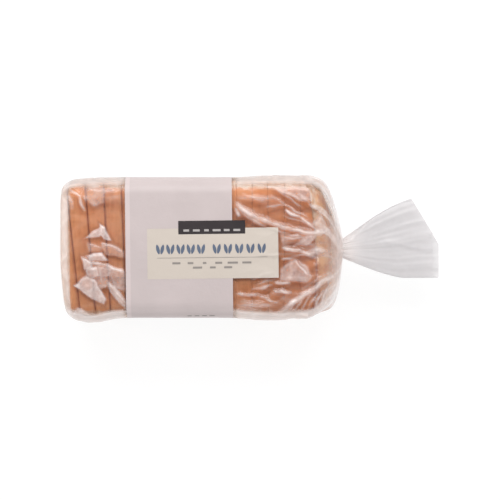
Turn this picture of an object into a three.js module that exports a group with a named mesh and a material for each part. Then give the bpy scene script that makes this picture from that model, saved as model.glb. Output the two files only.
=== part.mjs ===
// A sliced tin loaf in a clear film bag, lying on its base with its crown up.
// The bag is shut: snug round the bread, sealed flat at one end, and gathered at the other
// into a tight neck, past which the loose film flares out as a pleated tail.
// Film and bread are one closed solid, because the shut bag is handled as one thing.
// Millimetres. X runs along the loaf to the tail, Y across it, Z up.
// The origin is on the resting face, below the middle of the bread.
import * as THREE from "three";
import { LoftGeometry } from "three/addons/geometries/LoftGeometry.js";

// Driving dimensions of the bag round the bread
const BAG_HEIGHT = 115;
const BACK_HALF_WIDTH = 63.3; // towards +Y
const FRONT_HALF_WIDTH = 61.4; // towards -Y
const CORNER_RADIUS = 15;
const SEALED_END = -123;
const NECK = 129.5;

// The sealed end: rounded edges, a flat end face and a flat seam across its middle
const SEALED_ROUND = 15;
const SEALED_DRAW_IN = 9;
const SEALED_ROUND_STEPS = [0, 0.06, 0.2, 0.5, 1]; // shares of the rounding, along X
const SEAM_HALF_WIDTH = 47;
const SEAM_DEPTH = 2.5;
const SEAM_HALF_THICKNESS = 0.8;
const SEAM_FOOT = 0.2;
const END_FACE_STEPS = [0.8, 0.45, 0.12]; // height left on the end face, as a share
const END_FACE_CROWNING = 0.3; // how much each step stands out past the last

// The gathered end: the film closes in from here to the neck. Each side does so partly
// evenly and for the rest by a power of the way along, later for a higher power.
const SHOULDER_START = 95;
const BACK_DRAW = { even: 0, power: 3.8 };
const FRONT_DRAW = { even: 0.16, power: 9.5 };
const TOP_DRAW = { even: 0, power: 2.4 };
const BASE_DRAW = { even: 0, power: 4.5 };
const NECK_RADIUS = 8.5;
const NECK_HEIGHT = 57.5;

// Loose film that stands off the bread: where along X, on which side, how far, how long.
// A negative height draws the film in.
const SLACK = [
  { x: -96, side: -1, height: 4.5, spread: 17 },
  { x: 62, side: -1, height: 2.4, spread: 22 },
  { x: 70, side: 1, height: 1.3, spread: 25 },
  { x: -123, side: 1, height: -2.4, spread: 20 },
];

// The tail past the neck, with its slanting mouth
const TAIL_REACH = 89;
const TAIL_BACK_CUT = 27.5; // how much shorter its +Y corner is
const TAIL_CUT_START = -0.15; // where the slant starts, from -1 at the front to 1 at the back
const TAIL_BACK_EDGE = 45.8;
const TAIL_FRONT_EDGE = -26.9;
const TAIL_FRONT_FLARE = 0.62; // share of the reach where the front edge is fully out
const TAIL_DROOP = 9;
const TAIL_WAIST_THINNING = 3;
const TAIL_STEP_POWER = 1.2; // over 1 puts the steps closer at the neck
const EDGE_RELIEF = 0.3; // share of the pleats' depth on the tail's two edges
const MOUTH_INSIDE_WIDTH = 0.94;
// The open mouth's inside: how far along the tail, and the share of its thickness left
const MOUTH_INSIDE = [
  { along: 0.95, thin: 0.56 },
  { along: 0.84, thin: 0.35 },
  { along: 0.85, thin: 0.17 },
];

// Gathers run from the bread's shoulder through the neck to the mouth
const GATHERS = 13;
const GATHER_START = 40;
const GATHER_ON_SHOULDER = 2.4;
const GATHER_PINCH = 12; // length over which they draw together before the neck
const GATHER_AT_NECK = 1.1;
const GATHER_AT_MOUTH = 3.2;
const UNEVEN_GATHERS = 8;
const UNEVEN_SHARE = 0.45;

// Long folds of slack film over the crown, from one point of the plan to another
const CROWN_FOLDS = [
  { from: [31, 38], to: [103, 15], height: 2.2, spread: 4.5 },
  { from: [75, 34], to: [104, 18], height: 1.8, spread: 3.5 },
  { from: [62, 54], to: [112, 34], height: 1.8, spread: 4.5 },
  { from: [73, 2], to: [103, -18], height: 1.8, spread: 4 },
  { from: [56, -48], to: [115, -12], height: 2.4, spread: 4.5 },
  { from: [30, -39], to: [78, -46], height: 1.5, spread: 4 },
  { from: [-101, -9], to: [-66, -21], height: 1.8, spread: 3.5 },
  { from: [-110, -35], to: [-84, -48], height: 1.8, spread: 4 },
];

// Mesh density
const POINTS_ROUND = 84;
const CROWN_DENSITY = 0.45; // moves points from the base to the crown
const BODY_STEPS = 24;
const SHOULDER_STEPS = 10;
const TAIL_STEPS = 13;
const SHOULDER_END = 128.8;

const { lerp, clamp, smoothstep } = THREE.MathUtils;
const { PI, cos, sin, min, max, sqrt, exp, hypot } = Math;

// Shares of the way round a section, closer together over the crown
const SHARES_ROUND = Array.from({ length: POINTS_ROUND }, (_, j) => {
  const u = j / POINTS_ROUND;
  return u - (CROWN_DENSITY * (1 - cos(2 * PI * u))) / (2 * PI);
}).map((t) => (t + 1) % 1);

// The outline of a rounded rectangle at the share t of the way round, from +Y towards +Z,
// with the outward direction there
function outlineAt(t, halfY, halfZ, radius) {
  const r = min(radius, halfY, halfZ);
  const flatY = halfY - r;
  const flatZ = halfZ - r;
  const arc = (PI / 2) * r;
  const quarter = min(3, Math.floor(4 * t));
  const along = 4 * t - quarter;
  const run = (quarter % 2 ? 1 - along : along) * (flatZ + arc + flatY);
  const signY = quarter === 0 || quarter === 3 ? 1 : -1;
  const signZ = quarter < 2 ? 1 : -1;
  if (run <= flatZ) return { y: signY * halfY, z: signZ * run, outY: signY, outZ: 0 };
  if (run >= flatZ + arc) {
    const y = max(0, halfY - r - (run - flatZ - arc));
    return { y: signY * y, z: signZ * halfZ, outY: 0, outZ: signZ };
  }
  const turn = (run - flatZ) / r;
  return {
    y: signY * (flatY + r * cos(turn)),
    z: signZ * (flatZ + r * sin(turn)),
    outY: signY * cos(turn),
    outZ: signZ * sin(turn),
  };
}

// How far slack film stands off one side of the bread at x
function slackAt(x, side) {
  return SLACK.filter((s) => s.side === side).reduce(
    (sum, s) => sum + s.height * exp(-(((x - s.x) / s.spread) ** 2)),
    0,
  );
}

// Width, height and middle of the bag's section round the bread at x
function bodySection(x) {
  const e = clamp((SEALED_END + SEALED_ROUND - x) / SEALED_ROUND, 0, 1);
  const drawn = SEALED_DRAW_IN * (1 - sqrt(1 - e * e));
  const s = clamp((x - SHOULDER_START) / (NECK - SHOULDER_START), 0, 1);
  const edge = (full, atNeck, { even, power }) =>
    lerp(full, atNeck, even * s + (1 - even) * s ** power);
  const back = edge(BACK_HALF_WIDTH - drawn + slackAt(x, 1), NECK_RADIUS, BACK_DRAW);
  const front = edge(FRONT_HALF_WIDTH - drawn + slackAt(x, -1), NECK_RADIUS, FRONT_DRAW);
  const top = edge(BAG_HEIGHT - drawn, NECK_HEIGHT + NECK_RADIUS, TOP_DRAW);
  const base = edge(0, NECK_HEIGHT - NECK_RADIUS, BASE_DRAW);
  return {
    middleY: (back - front) / 2,
    middleZ: (top + base) / 2,
    halfY: (back + front) / 2,
    halfZ: (top - base) / 2,
    radius: lerp(CORNER_RADIUS, min(back, front), s ** 2),
  };
}

// Height of the gathers at the share t of the way round, for gathers of a given depth
function gatherAt(t, depth) {
  const even = cos(2 * PI * GATHERS * t);
  const uneven = cos(2 * PI * UNEVEN_GATHERS * t + 1);
  return (depth * (even + UNEVEN_SHARE * uneven)) / (1 + UNEVEN_SHARE);
}

// Height of the crown's folds at a point of the plan
function crownFoldAt(x, y) {
  return CROWN_FOLDS.reduce((highest, { from, to, height, spread }) => {
    const [dx, dy] = [to[0] - from[0], to[1] - from[1]];
    const along = ((x - from[0]) * dx + (y - from[1]) * dy) / (dx * dx + dy * dy);
    if (along < 0 || along > 1) return highest;
    const off = hypot(x - from[0] - along * dx, y - from[1] - along * dy);
    return max(highest, height * sqrt(sin(PI * along)) * max(0, 1 - off / (2 * spread)));
  }, 0);
}

// One ring of points round the bread at x
function bodyRing(x) {
  const { middleY, middleZ, halfY, halfZ, radius } = bodySection(x);
  const gathered = smoothstep(x, GATHER_START, NECK);
  const pinched = smoothstep(x, NECK - GATHER_PINCH, NECK);
  const depth = lerp(GATHER_ON_SHOULDER * gathered ** 1.5, GATHER_AT_NECK, pinched);
  return SHARES_ROUND.map((t) => {
    const { y, z, outY, outZ } = outlineAt(t, halfY, halfZ, radius);
    const flattened = max(0, -outZ) * (1 - smoothstep(x, SHOULDER_START, NECK));
    const crownFold = max(0, outZ) * crownFoldAt(x, middleY + y);
    const relief = gatherAt(t, depth) * (1 - flattened) + crownFold;
    const height = max(0, middleZ + z + relief * outZ);
    return new THREE.Vector3(x, middleY + y + relief * outY, height);
  });
}

// Rings of the end face, which narrows to the flat seam across its middle
function sealedEndRings() {
  const { middleY, middleZ, halfY, halfZ } = bodySection(SEALED_END);
  const steps = END_FACE_STEPS.length;
  const faceRings = END_FACE_STEPS.map((share, i) => {
    const width = lerp(halfY, SEAM_HALF_WIDTH, (i + 1) / steps);
    const x = SEALED_END - END_FACE_CROWNING * (i + 1);
    return SHARES_ROUND.map((t) => {
      const { y, z } = outlineAt(t, width, halfZ * share, CORNER_RADIUS);
      return new THREE.Vector3(x, middleY + y, middleZ + z);
    });
  });
  const foot = SEALED_END - END_FACE_CROWNING * steps - SEAM_FOOT;
  const seamRings = [foot, foot - SEAM_DEPTH].map((x) =>
    SHARES_ROUND.map((t) => {
      const y = SEAM_HALF_WIDTH * cos(2 * PI * t);
      const z = SEAM_HALF_THICKNESS * sin(2 * PI * t);
      return new THREE.Vector3(x, middleY + y, middleZ + z);
    }),
  );
  return [...faceRings, ...seamRings].reverse();
}

// One ring of the tail: f runs from 0 at the neck to 1 at the mouth, and thin is the share
// of its thickness that it keeps
function tailRing(f, thin = 1) {
  const flared = (g) => (g + sin((PI / 2) * g)) / 2;
  const back = lerp(NECK_RADIUS, TAIL_BACK_EDGE, flared(f));
  const front = lerp(-NECK_RADIUS, TAIL_FRONT_EDGE, flared(min(1, f / TAIL_FRONT_FLARE)));
  const halfY = (back - front) / 2;
  const middleY = (back + front) / 2;
  const middleZ = NECK_HEIGHT - TAIL_DROOP * f ** 1.5;
  const halfZ = (NECK_RADIUS - TAIL_WAIST_THINNING * sin(PI * f)) * thin;
  const depth = lerp(GATHER_AT_NECK, GATHER_AT_MOUTH, f);
  return SHARES_ROUND.map((t) => {
    const { y, z, outY, outZ } = outlineAt(t, halfY, halfZ, halfZ);
    const across = clamp(y / halfY, -1, 1);
    const slant = max(0, (across - TAIL_CUT_START) / (1 - TAIL_CUT_START));
    const reach = TAIL_REACH - TAIL_BACK_CUT * slant;
    const relief = gatherAt(t, depth) * thin;
    return new THREE.Vector3(
      NECK + f * reach,
      middleY + y * (thin < 1 ? MOUTH_INSIDE_WIDTH : 1) + relief * outY * EDGE_RELIEF,
      middleZ + z + relief * outZ,
    );
  });
}

// Places along X for the rings round the bread, closer together at the rounded ends
function bodyPlaces() {
  const rounded = SEALED_ROUND_STEPS.map((e) => SEALED_END + e * SEALED_ROUND);
  const middle = Array.from({ length: BODY_STEPS }, (_, i) =>
    lerp(SEALED_END + SEALED_ROUND, SHOULDER_START, (i + 1) / BODY_STEPS),
  );
  const shoulder = Array.from({ length: SHOULDER_STEPS }, (_, i) =>
    lerp(SHOULDER_START, SHOULDER_END, sin(((PI / 2) * (i + 1)) / SHOULDER_STEPS)),
  );
  return [...rounded, ...middle, ...shoulder];
}

function bagGeometry() {
  const tail = Array.from({ length: TAIL_STEPS + 1 }, (_, i) =>
    tailRing((i / TAIL_STEPS) ** TAIL_STEP_POWER),
  );
  const mouth = MOUTH_INSIDE.map(({ along, thin }) => tailRing(along, thin));
  const rings = [...sealedEndRings(), ...bodyPlaces().map(bodyRing), ...tail, ...mouth];
  return new LoftGeometry(rings, { capStart: true, capEnd: true });
}

const film = new THREE.MeshStandardMaterial({
  name: "clear_film_over_crust",
  color: 0xc89a78,
  roughness: 0.35,
  metalness: 0,
});

const bag = new THREE.Mesh(bagGeometry(), film);
bag.name = "bread_bag";

const loafInBag = new THREE.Group();
loafInBag.add(bag);

export default loafInBag;
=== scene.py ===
"""A sliced tin loaf in a clear film bag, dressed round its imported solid.

The bag is one sheet of crinkled film: snug round the bread, sealed flat at its left end, and
gathered at its right end into a neck, past which it flares out as a pleated tail. The slices
lie inside it, and a pale band and a label are printed on it. The forms are worked out in
millimetres, with X along the loaf, Y across it and Z up, and written in metres.
"""
from __future__ import annotations

import logging
import math
from dataclasses import dataclass, field
from enum import Enum

import bmesh
import bpy
import numpy as np
from mathutils import Matrix, Vector, noise
from mathutils.bvhtree import BVHTree


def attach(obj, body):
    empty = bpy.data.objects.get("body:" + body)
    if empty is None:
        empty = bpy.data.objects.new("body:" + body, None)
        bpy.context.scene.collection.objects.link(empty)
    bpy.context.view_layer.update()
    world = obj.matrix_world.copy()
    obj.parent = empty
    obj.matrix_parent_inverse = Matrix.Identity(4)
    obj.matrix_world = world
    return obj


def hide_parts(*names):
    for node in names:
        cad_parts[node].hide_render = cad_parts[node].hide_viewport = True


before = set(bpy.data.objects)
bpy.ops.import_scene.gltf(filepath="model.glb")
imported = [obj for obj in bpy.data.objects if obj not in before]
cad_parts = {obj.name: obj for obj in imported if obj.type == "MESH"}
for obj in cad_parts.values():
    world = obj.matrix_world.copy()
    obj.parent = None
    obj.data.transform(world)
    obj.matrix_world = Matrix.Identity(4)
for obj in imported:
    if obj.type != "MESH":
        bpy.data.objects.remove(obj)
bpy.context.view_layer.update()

logger = logging.getLogger("loaf_in_bag")

MM = 0.001
BODY = "root"
NODE = "bread_bag"

Socket = bpy.types.NodeSocket
Colour = tuple[float, float, float, float]
Point = tuple[float, float]
Ring = tuple[float, float, float]
Box = tuple[float, float, float, float]

WHITE: Colour = (1.0, 1.0, 1.0, 1.0)


class Slot(Enum):
    """Material slots of the record, which the printed pieces list beside their finishes."""

    FILM = "film"
    CRUST = "crust"
    PRINT = "print"
    LABEL = "label"
    LABEL_DARK = "label_dark"
    LABEL_BLUE = "label_blue"


# Small helpers on arrays


def smooth(value: np.ndarray, low: float, high: float) -> np.ndarray:
    """Ease from 0 at low to 1 at high.

    Args:
        value: Numbers to ease.
        low: Where the result is 0.
        high: Where the result is 1.

    Returns:
        The eased numbers, from 0 to 1.
    """
    t = np.clip((value - low) / (high - low), 0.0, 1.0)
    return t * t * (3.0 - 2.0 * t)


def blend(start: np.ndarray, end: np.ndarray, share: np.ndarray) -> np.ndarray:
    """Mix two arrays, from start at share 0 to end at share 1."""
    return start + (end - start) * share


def noise_at(points: np.ndarray, size: float, seed: float) -> np.ndarray:
    """Smooth noise at many points.

    Args:
        points: Places in millimetres, with x, y and z last.
        size: Width of the noise's features in millimetres.
        seed: Shift that makes each use different.

    Returns:
        Values from about -1 to 1, in the shape of the points.
    """
    flat = points.reshape(-1, 3) / size + np.array([seed, -seed, 0.5 * seed])
    values = [noise.noise(Vector(p)) for p in flat]
    return np.array(values).reshape(points.shape[:-1])


def outline(
    t: np.ndarray, half_y: np.ndarray, half_z: np.ndarray, corner: np.ndarray
) -> tuple[np.ndarray, np.ndarray, np.ndarray, np.ndarray]:
    """Points and outward directions on a rounded rectangle.

    Args:
        t: Share of the way round, from +Y towards +Z.
        half_y: Half of the width.
        half_z: Half of the height.
        corner: Corner radius.

    Returns:
        y, z and the outward direction's y and z.
    """
    radius = np.minimum(corner, np.minimum(half_y, half_z))
    flat_y, flat_z = half_y - radius, half_z - radius
    arc = 0.5 * math.pi * radius
    quarter = np.minimum(3, np.floor(4 * t))
    along = 4 * t - quarter
    run = np.where(quarter % 2 == 1, 1 - along, along) * (flat_z + arc + flat_y)
    sign_y = np.where((quarter == 0) | (quarter == 3), 1.0, -1.0)
    sign_z = np.where(quarter < 2, 1.0, -1.0)
    turn = np.clip((run - flat_z) / radius, 0.0, 0.5 * math.pi)
    y = flat_y + radius * np.cos(turn) - np.maximum(0.0, run - flat_z - arc)
    z = np.minimum(run, flat_z) + radius * np.sin(turn)
    return sign_y * y, sign_z * z, sign_y * np.cos(turn), sign_z * np.sin(turn)


# Finishes


class Nodes:
    """The node tree of one material, with short calls to add and join its nodes."""

    def __init__(self, name: str) -> None:
        """Start an empty material.

        Args:
            name: Name of the material.
        """
        self.material = bpy.data.materials.new(name)
        self.material.use_nodes = True
        self.tree = self.material.node_tree
        self.tree.nodes.clear()

    def add(
        self, kind: str, inputs: dict[int | str, object] | None = None, **settings: object
    ) -> bpy.types.Node:
        """Add a node.

        Args:
            kind: Type of the node, without its prefix.
            inputs: Values or output sockets for its input sockets, by name or number.
            settings: Properties of the node.

        Returns:
            The new node.
        """
        node = self.tree.nodes.new("ShaderNode" + kind)
        for name, value in settings.items():
            setattr(node, name, value)
        for key, value in (inputs or {}).items():
            if isinstance(value, Socket):
                self.tree.links.new(value, node.inputs[key])
            else:
                node.inputs[key].default_value = value
        return node

    def place(self) -> Socket:
        """Object coordinates in metres."""
        return self.add("TexCoord").outputs["Object"]

    def noise(self, place: Socket, scale: float, detail: float = 3.0, rough: float = 0.5) -> Socket:
        """Noise over the object.

        Args:
            place: Coordinates.
            scale: Features in one metre.
            detail: Octaves.
            rough: Strength of the finer octaves.

        Returns:
            The noise's value, from 0 to 1.
        """
        inputs = {"Vector": place, "Scale": scale, "Detail": detail, "Roughness": rough}
        return self.add("TexNoise", inputs).outputs["Fac"]

    def math(
        self, operation: str, first: float | Socket, second: float | Socket, clamp: bool = False
    ) -> Socket:
        """One step of arithmetic.

        Args:
            operation: Name of the step.
            first: First number.
            second: Second number.
            clamp: Whether the result is held between 0 and 1.

        Returns:
            The result.
        """
        inputs = {0: first, 1: second}
        return self.add("Math", inputs, operation=operation, use_clamp=clamp).outputs[0]

    def absolute(self, value: float | Socket) -> Socket:
        """The number without its sign."""
        return self.add("Math", {0: value}, operation="ABSOLUTE").outputs[0]

    def spread(self, value: Socket, low: float, high: float, to: Point = (0.0, 1.0)) -> Socket:
        """Map a range of values to another, smoothly and held at its ends.

        Args:
            value: The number.
            low: Start of the range.
            high: End of the range.
            to: Results at the two ends.

        Returns:
            The mapped number.
        """
        inputs = {"Value": value, "From Min": low, "From Max": high}
        inputs.update({"To Min": to[0], "To Max": to[1]})
        return self.add("MapRange", inputs, interpolation_type="SMOOTHSTEP").outputs["Result"]

    def mix(
        self, share: float | Socket, first: Colour | Socket, second: Colour | Socket
    ) -> Socket:
        """Mix two colours.

        Args:
            share: Share of the second colour.
            first: Colour or socket.
            second: Colour or socket.

        Returns:
            The mixed colour.
        """
        inputs = {0: share, 6: first, 7: second}
        return self.add("Mix", inputs, data_type="RGBA").outputs[2]

    def bump(self, height: Socket, distance: float, strength: float | Socket = 1.0) -> Socket:
        """Bump from a height.

        Args:
            height: Height from 0 to 1.
            distance: Depth in metres that a height of 1 stands for.
            strength: Share of the bump that is used.

        Returns:
            The bumped normal.
        """
        inputs = {"Height": height, "Distance": distance, "Strength": strength}
        return self.add("Bump", inputs).outputs["Normal"]

    def attribute(self, name: str) -> Socket:
        """A number that the mesh carries at each of its points."""
        return self.add("Attribute", attribute_name=name).outputs["Fac"]

    def axes(self, place: Socket) -> list[Socket]:
        """X, Y and Z of some coordinates."""
        return self.add("SeparateXYZ", {0: place}).outputs[:]

    def surface(
        self, colour: Socket, roughness: float, specular: float, normal: Socket
    ) -> Socket:
        """An ordinary solid surface.

        Args:
            colour: Its colour.
            roughness: Its roughness.
            specular: Strength of its reflections.
            normal: Its bumped normal.

        Returns:
            The shader.
        """
        inputs = {"Base Color": colour, "Roughness": roughness, "Specular IOR Level": specular}
        return self.add("BsdfPrincipled", {**inputs, "Normal": normal}).outputs[0]

    def mix_shaders(self, share: float | Socket, first: Socket, second: Socket) -> Socket:
        """Mix two shaders, from the first at share 0 to the second at share 1."""
        return self.add("MixShader", {0: share, 1: first, 2: second}).outputs[0]

    def finish(self, shader: Socket) -> bpy.types.Material:
        """Send a shader to the output and hand the material over."""
        self.add("OutputMaterial", {"Surface": shader})
        return self.material


@dataclass(frozen=True)
class CrustFinish:
    """Browned crust: dark over the crown, pale golden down the sides and at the ends."""

    crown: Colour = (0.83, 0.375, 0.17, 1.0)
    crown_dark: Colour = (0.67, 0.255, 0.095, 1.0)
    foot: Colour = (0.58, 0.32, 0.16, 1.0)
    foot_height: float = 0.016
    side: Colour = (0.87, 0.72, 0.60, 1.0)
    side_tan: Colour = (0.76, 0.48, 0.31, 1.0)
    end: Colour = (0.93, 0.575, 0.31, 1.0)
    end_tan: Colour = (0.78, 0.36, 0.18, 1.0)
    # Painted shade colour beside the open joints.
    joint: Colour = (0.47, 0.165, 0.075, 1.0)
    joint_share: float = 0.8
    closed_joint: float = 0.35
    closed_share: float = 0.6
    broad_scale: float = 26.0
    mottle_scale: float = 150.0
    fine_scale: float = 900.0
    grain_scale: float = 330.0
    grain_stretch: tuple[float, float, float] = (1.0, 0.1, 0.3)
    broad_tone: Point = (0.0, 0.55)
    mottle_tone: Point = (0.0, 0.45)
    grain_tone: Point = (-0.18, 0.3)
    brown_from: float = 0.0
    brown_to: float = 0.06
    brown_share: float = 0.72
    crown_start: float = -0.1142
    crown_end: float = 0.1031
    end_slope: float = 0.11
    crown_half_width: float = 0.0543
    crown_height: float = 0.095
    middle_y: float = -0.0007
    edge_softness: float = 0.0017
    edge_waver: Point = (-0.0014, 0.0014)
    lower_side: Point = (0.1, 0.055)
    lower_tan: Point = (0.0, 0.5)
    foot_waver: Point = (-0.008, 0.008)
    fine_share: float = 0.35
    relief_depth: float = 0.0009
    relief_share: float = 0.5
    roughness: float = 0.72
    specular: float = 0.3

    def make(self) -> bpy.types.Material:
        """Build the material.

        Returns:
            The crust material.
        """
        nodes = Nodes("browned_crust")
        place = nodes.place()
        broad = nodes.noise(place, self.broad_scale)
        mottle = nodes.noise(place, self.mottle_scale, 5.0, 0.6)
        fine = nodes.noise(place, self.fine_scale, 3.0, 0.6)
        joint = nodes.attribute("joint")
        crown = self.crown_colour(nodes, place, (broad, mottle), joint)
        side = self.side_colour(nodes, place, (broad, mottle), joint)
        colour = nodes.mix(self.crown_share(nodes, place), side, crown)
        relief = nodes.math("ADD", mottle, nodes.math("MULTIPLY", fine, self.fine_share))
        normal = nodes.bump(relief, self.relief_depth, self.relief_share)
        return nodes.finish(nodes.surface(colour, self.roughness, self.specular, normal))

    def crown_colour(
        self, nodes: Nodes, place: Socket, clouds: tuple[Socket, Socket], joint: Socket
    ) -> Socket:
        """Mottled brown with a fine grain, darker to the right, with painted shade beside the open
        joints.

        Args:
            nodes: The material's nodes.
            place: Object coordinates.
            clouds: Broad noise and small noise.
            joint: Share of the painted joint shade.

        Returns:
            The colour.
        """
        broad, mottle = clouds
        stretched = nodes.add("Mapping", {"Vector": place, "Scale": self.grain_stretch})
        grain = nodes.noise(stretched.outputs[0], self.grain_scale, 4.0, 0.6)
        along = nodes.axes(place)[0]
        tone = nodes.math("ADD", nodes.spread(broad, 0.38, 0.66, self.broad_tone),
                          nodes.spread(mottle, 0.45, 0.75, self.mottle_tone))
        grained = nodes.spread(grain, 0.35, 0.7, self.grain_tone)
        tone = nodes.math("ADD", tone, grained, clamp=True)
        browner = nodes.spread(along, self.brown_from, self.brown_to, (0.0, self.brown_share))
        tone = nodes.math("ADD", tone, browner, clamp=True)
        colour = nodes.mix(tone, self.crown, self.crown_dark)
        # Painted shade beside the open joints.
        opened = nodes.spread(joint, self.closed_joint, 1.0, (0.0, self.joint_share))
        return nodes.mix(opened, colour, self.joint)

    def side_colour(
        self, nodes: Nodes, place: Socket, clouds: tuple[Socket, Socket], joint: Socket
    ) -> Socket:
        """Pale sides with a browned foot and thin joint lines of painted shade, and a golden right
        end.

        Args:
            nodes: The material's nodes.
            place: Object coordinates.
            clouds: Broad noise and small noise.
            joint: Share of the painted joint shade.

        Returns:
            The colour.
        """
        broad, mottle = clouds
        along, _, height = nodes.axes(place)
        mottled = nodes.spread(mottle, 0.35, 0.68)
        lower = nodes.spread(height, *self.lower_side, self.lower_tan)
        tan = nodes.math("ADD", mottled, lower, clamp=True)
        # Painted shade in thin lines at the closed joints.
        closed = nodes.spread(joint, 0.0, self.closed_joint, (0.0, self.closed_share))
        side = nodes.mix(tan, self.side, self.side_tan)
        side = nodes.mix(closed, side, self.foot)
        at_end = nodes.spread(along, self.crown_end - 0.002, self.crown_end + 0.002)
        side = nodes.mix(at_end, side, nodes.mix(mottled, self.end, self.end_tan))
        low = nodes.math("ADD", height, nodes.spread(broad, 0.3, 0.7, self.foot_waver))
        return nodes.mix(nodes.spread(low, self.foot_height, 0.0), side, self.foot)

    def crown_share(self, nodes: Nodes, place: Socket) -> Socket:
        """Where the crust is browned: over the crown, short of its rounded edges.

        Args:
            nodes: The material's nodes.
            place: Object coordinates.

        Returns:
            Share of the browned crust, from 0 to 1.
        """
        x, y, z = nodes.axes(place)
        uneven = nodes.spread(nodes.noise(place, 110.0, 4.0), 0.3, 0.7, self.edge_waver)
        aside = nodes.absolute(nodes.math("SUBTRACT", y, self.middle_y))
        aside = nodes.math("ADD", aside, uneven)
        along = nodes.math("ADD", x, nodes.math("MULTIPLY", y, self.end_slope))
        share = nodes.spread(aside, self.crown_half_width + self.edge_softness,
                             self.crown_half_width - self.edge_softness)
        for value, low, high in (
            (z, self.crown_height, self.crown_height + 0.008),
            (x, self.crown_start - 0.0006, self.crown_start + 0.0006),
            (along, self.crown_end + 0.0003, self.crown_end - 0.0003),
        ):
            share = nodes.math("MULTIPLY", share, nodes.spread(value, low, high))
        return share


@dataclass(frozen=True)
class CrumbFinish:
    """Soft white crumb with fine pores on the cut faces."""

    pale: Colour = (0.80, 0.68, 0.50, 1.0)
    pore: Colour = (0.62, 0.47, 0.30, 1.0)
    pore_scale: float = 420.0
    soft_scale: float = 220.0
    relief_depth: float = 0.0012
    relief_share: float = 0.7
    roughness: float = 0.9
    specular: float = 0.15

    def make(self) -> bpy.types.Material:
        """Build the material.

        Returns:
            The crumb material.
        """
        nodes = Nodes("white_crumb")
        place = nodes.place()
        cells = nodes.add("TexVoronoi", {"Vector": place, "Scale": self.pore_scale})
        pores = cells.outputs["Distance"]
        soft = nodes.noise(place, self.soft_scale, 4.0)
        share = nodes.math("MULTIPLY", nodes.spread(pores, 0.45, 0.1), soft)
        colour = nodes.mix(share, self.pale, self.pore)
        relief = nodes.math("ADD", pores, soft)
        normal = nodes.bump(relief, self.relief_depth, self.relief_share)
        return nodes.finish(nodes.surface(colour, self.roughness, self.specular, normal))


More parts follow.
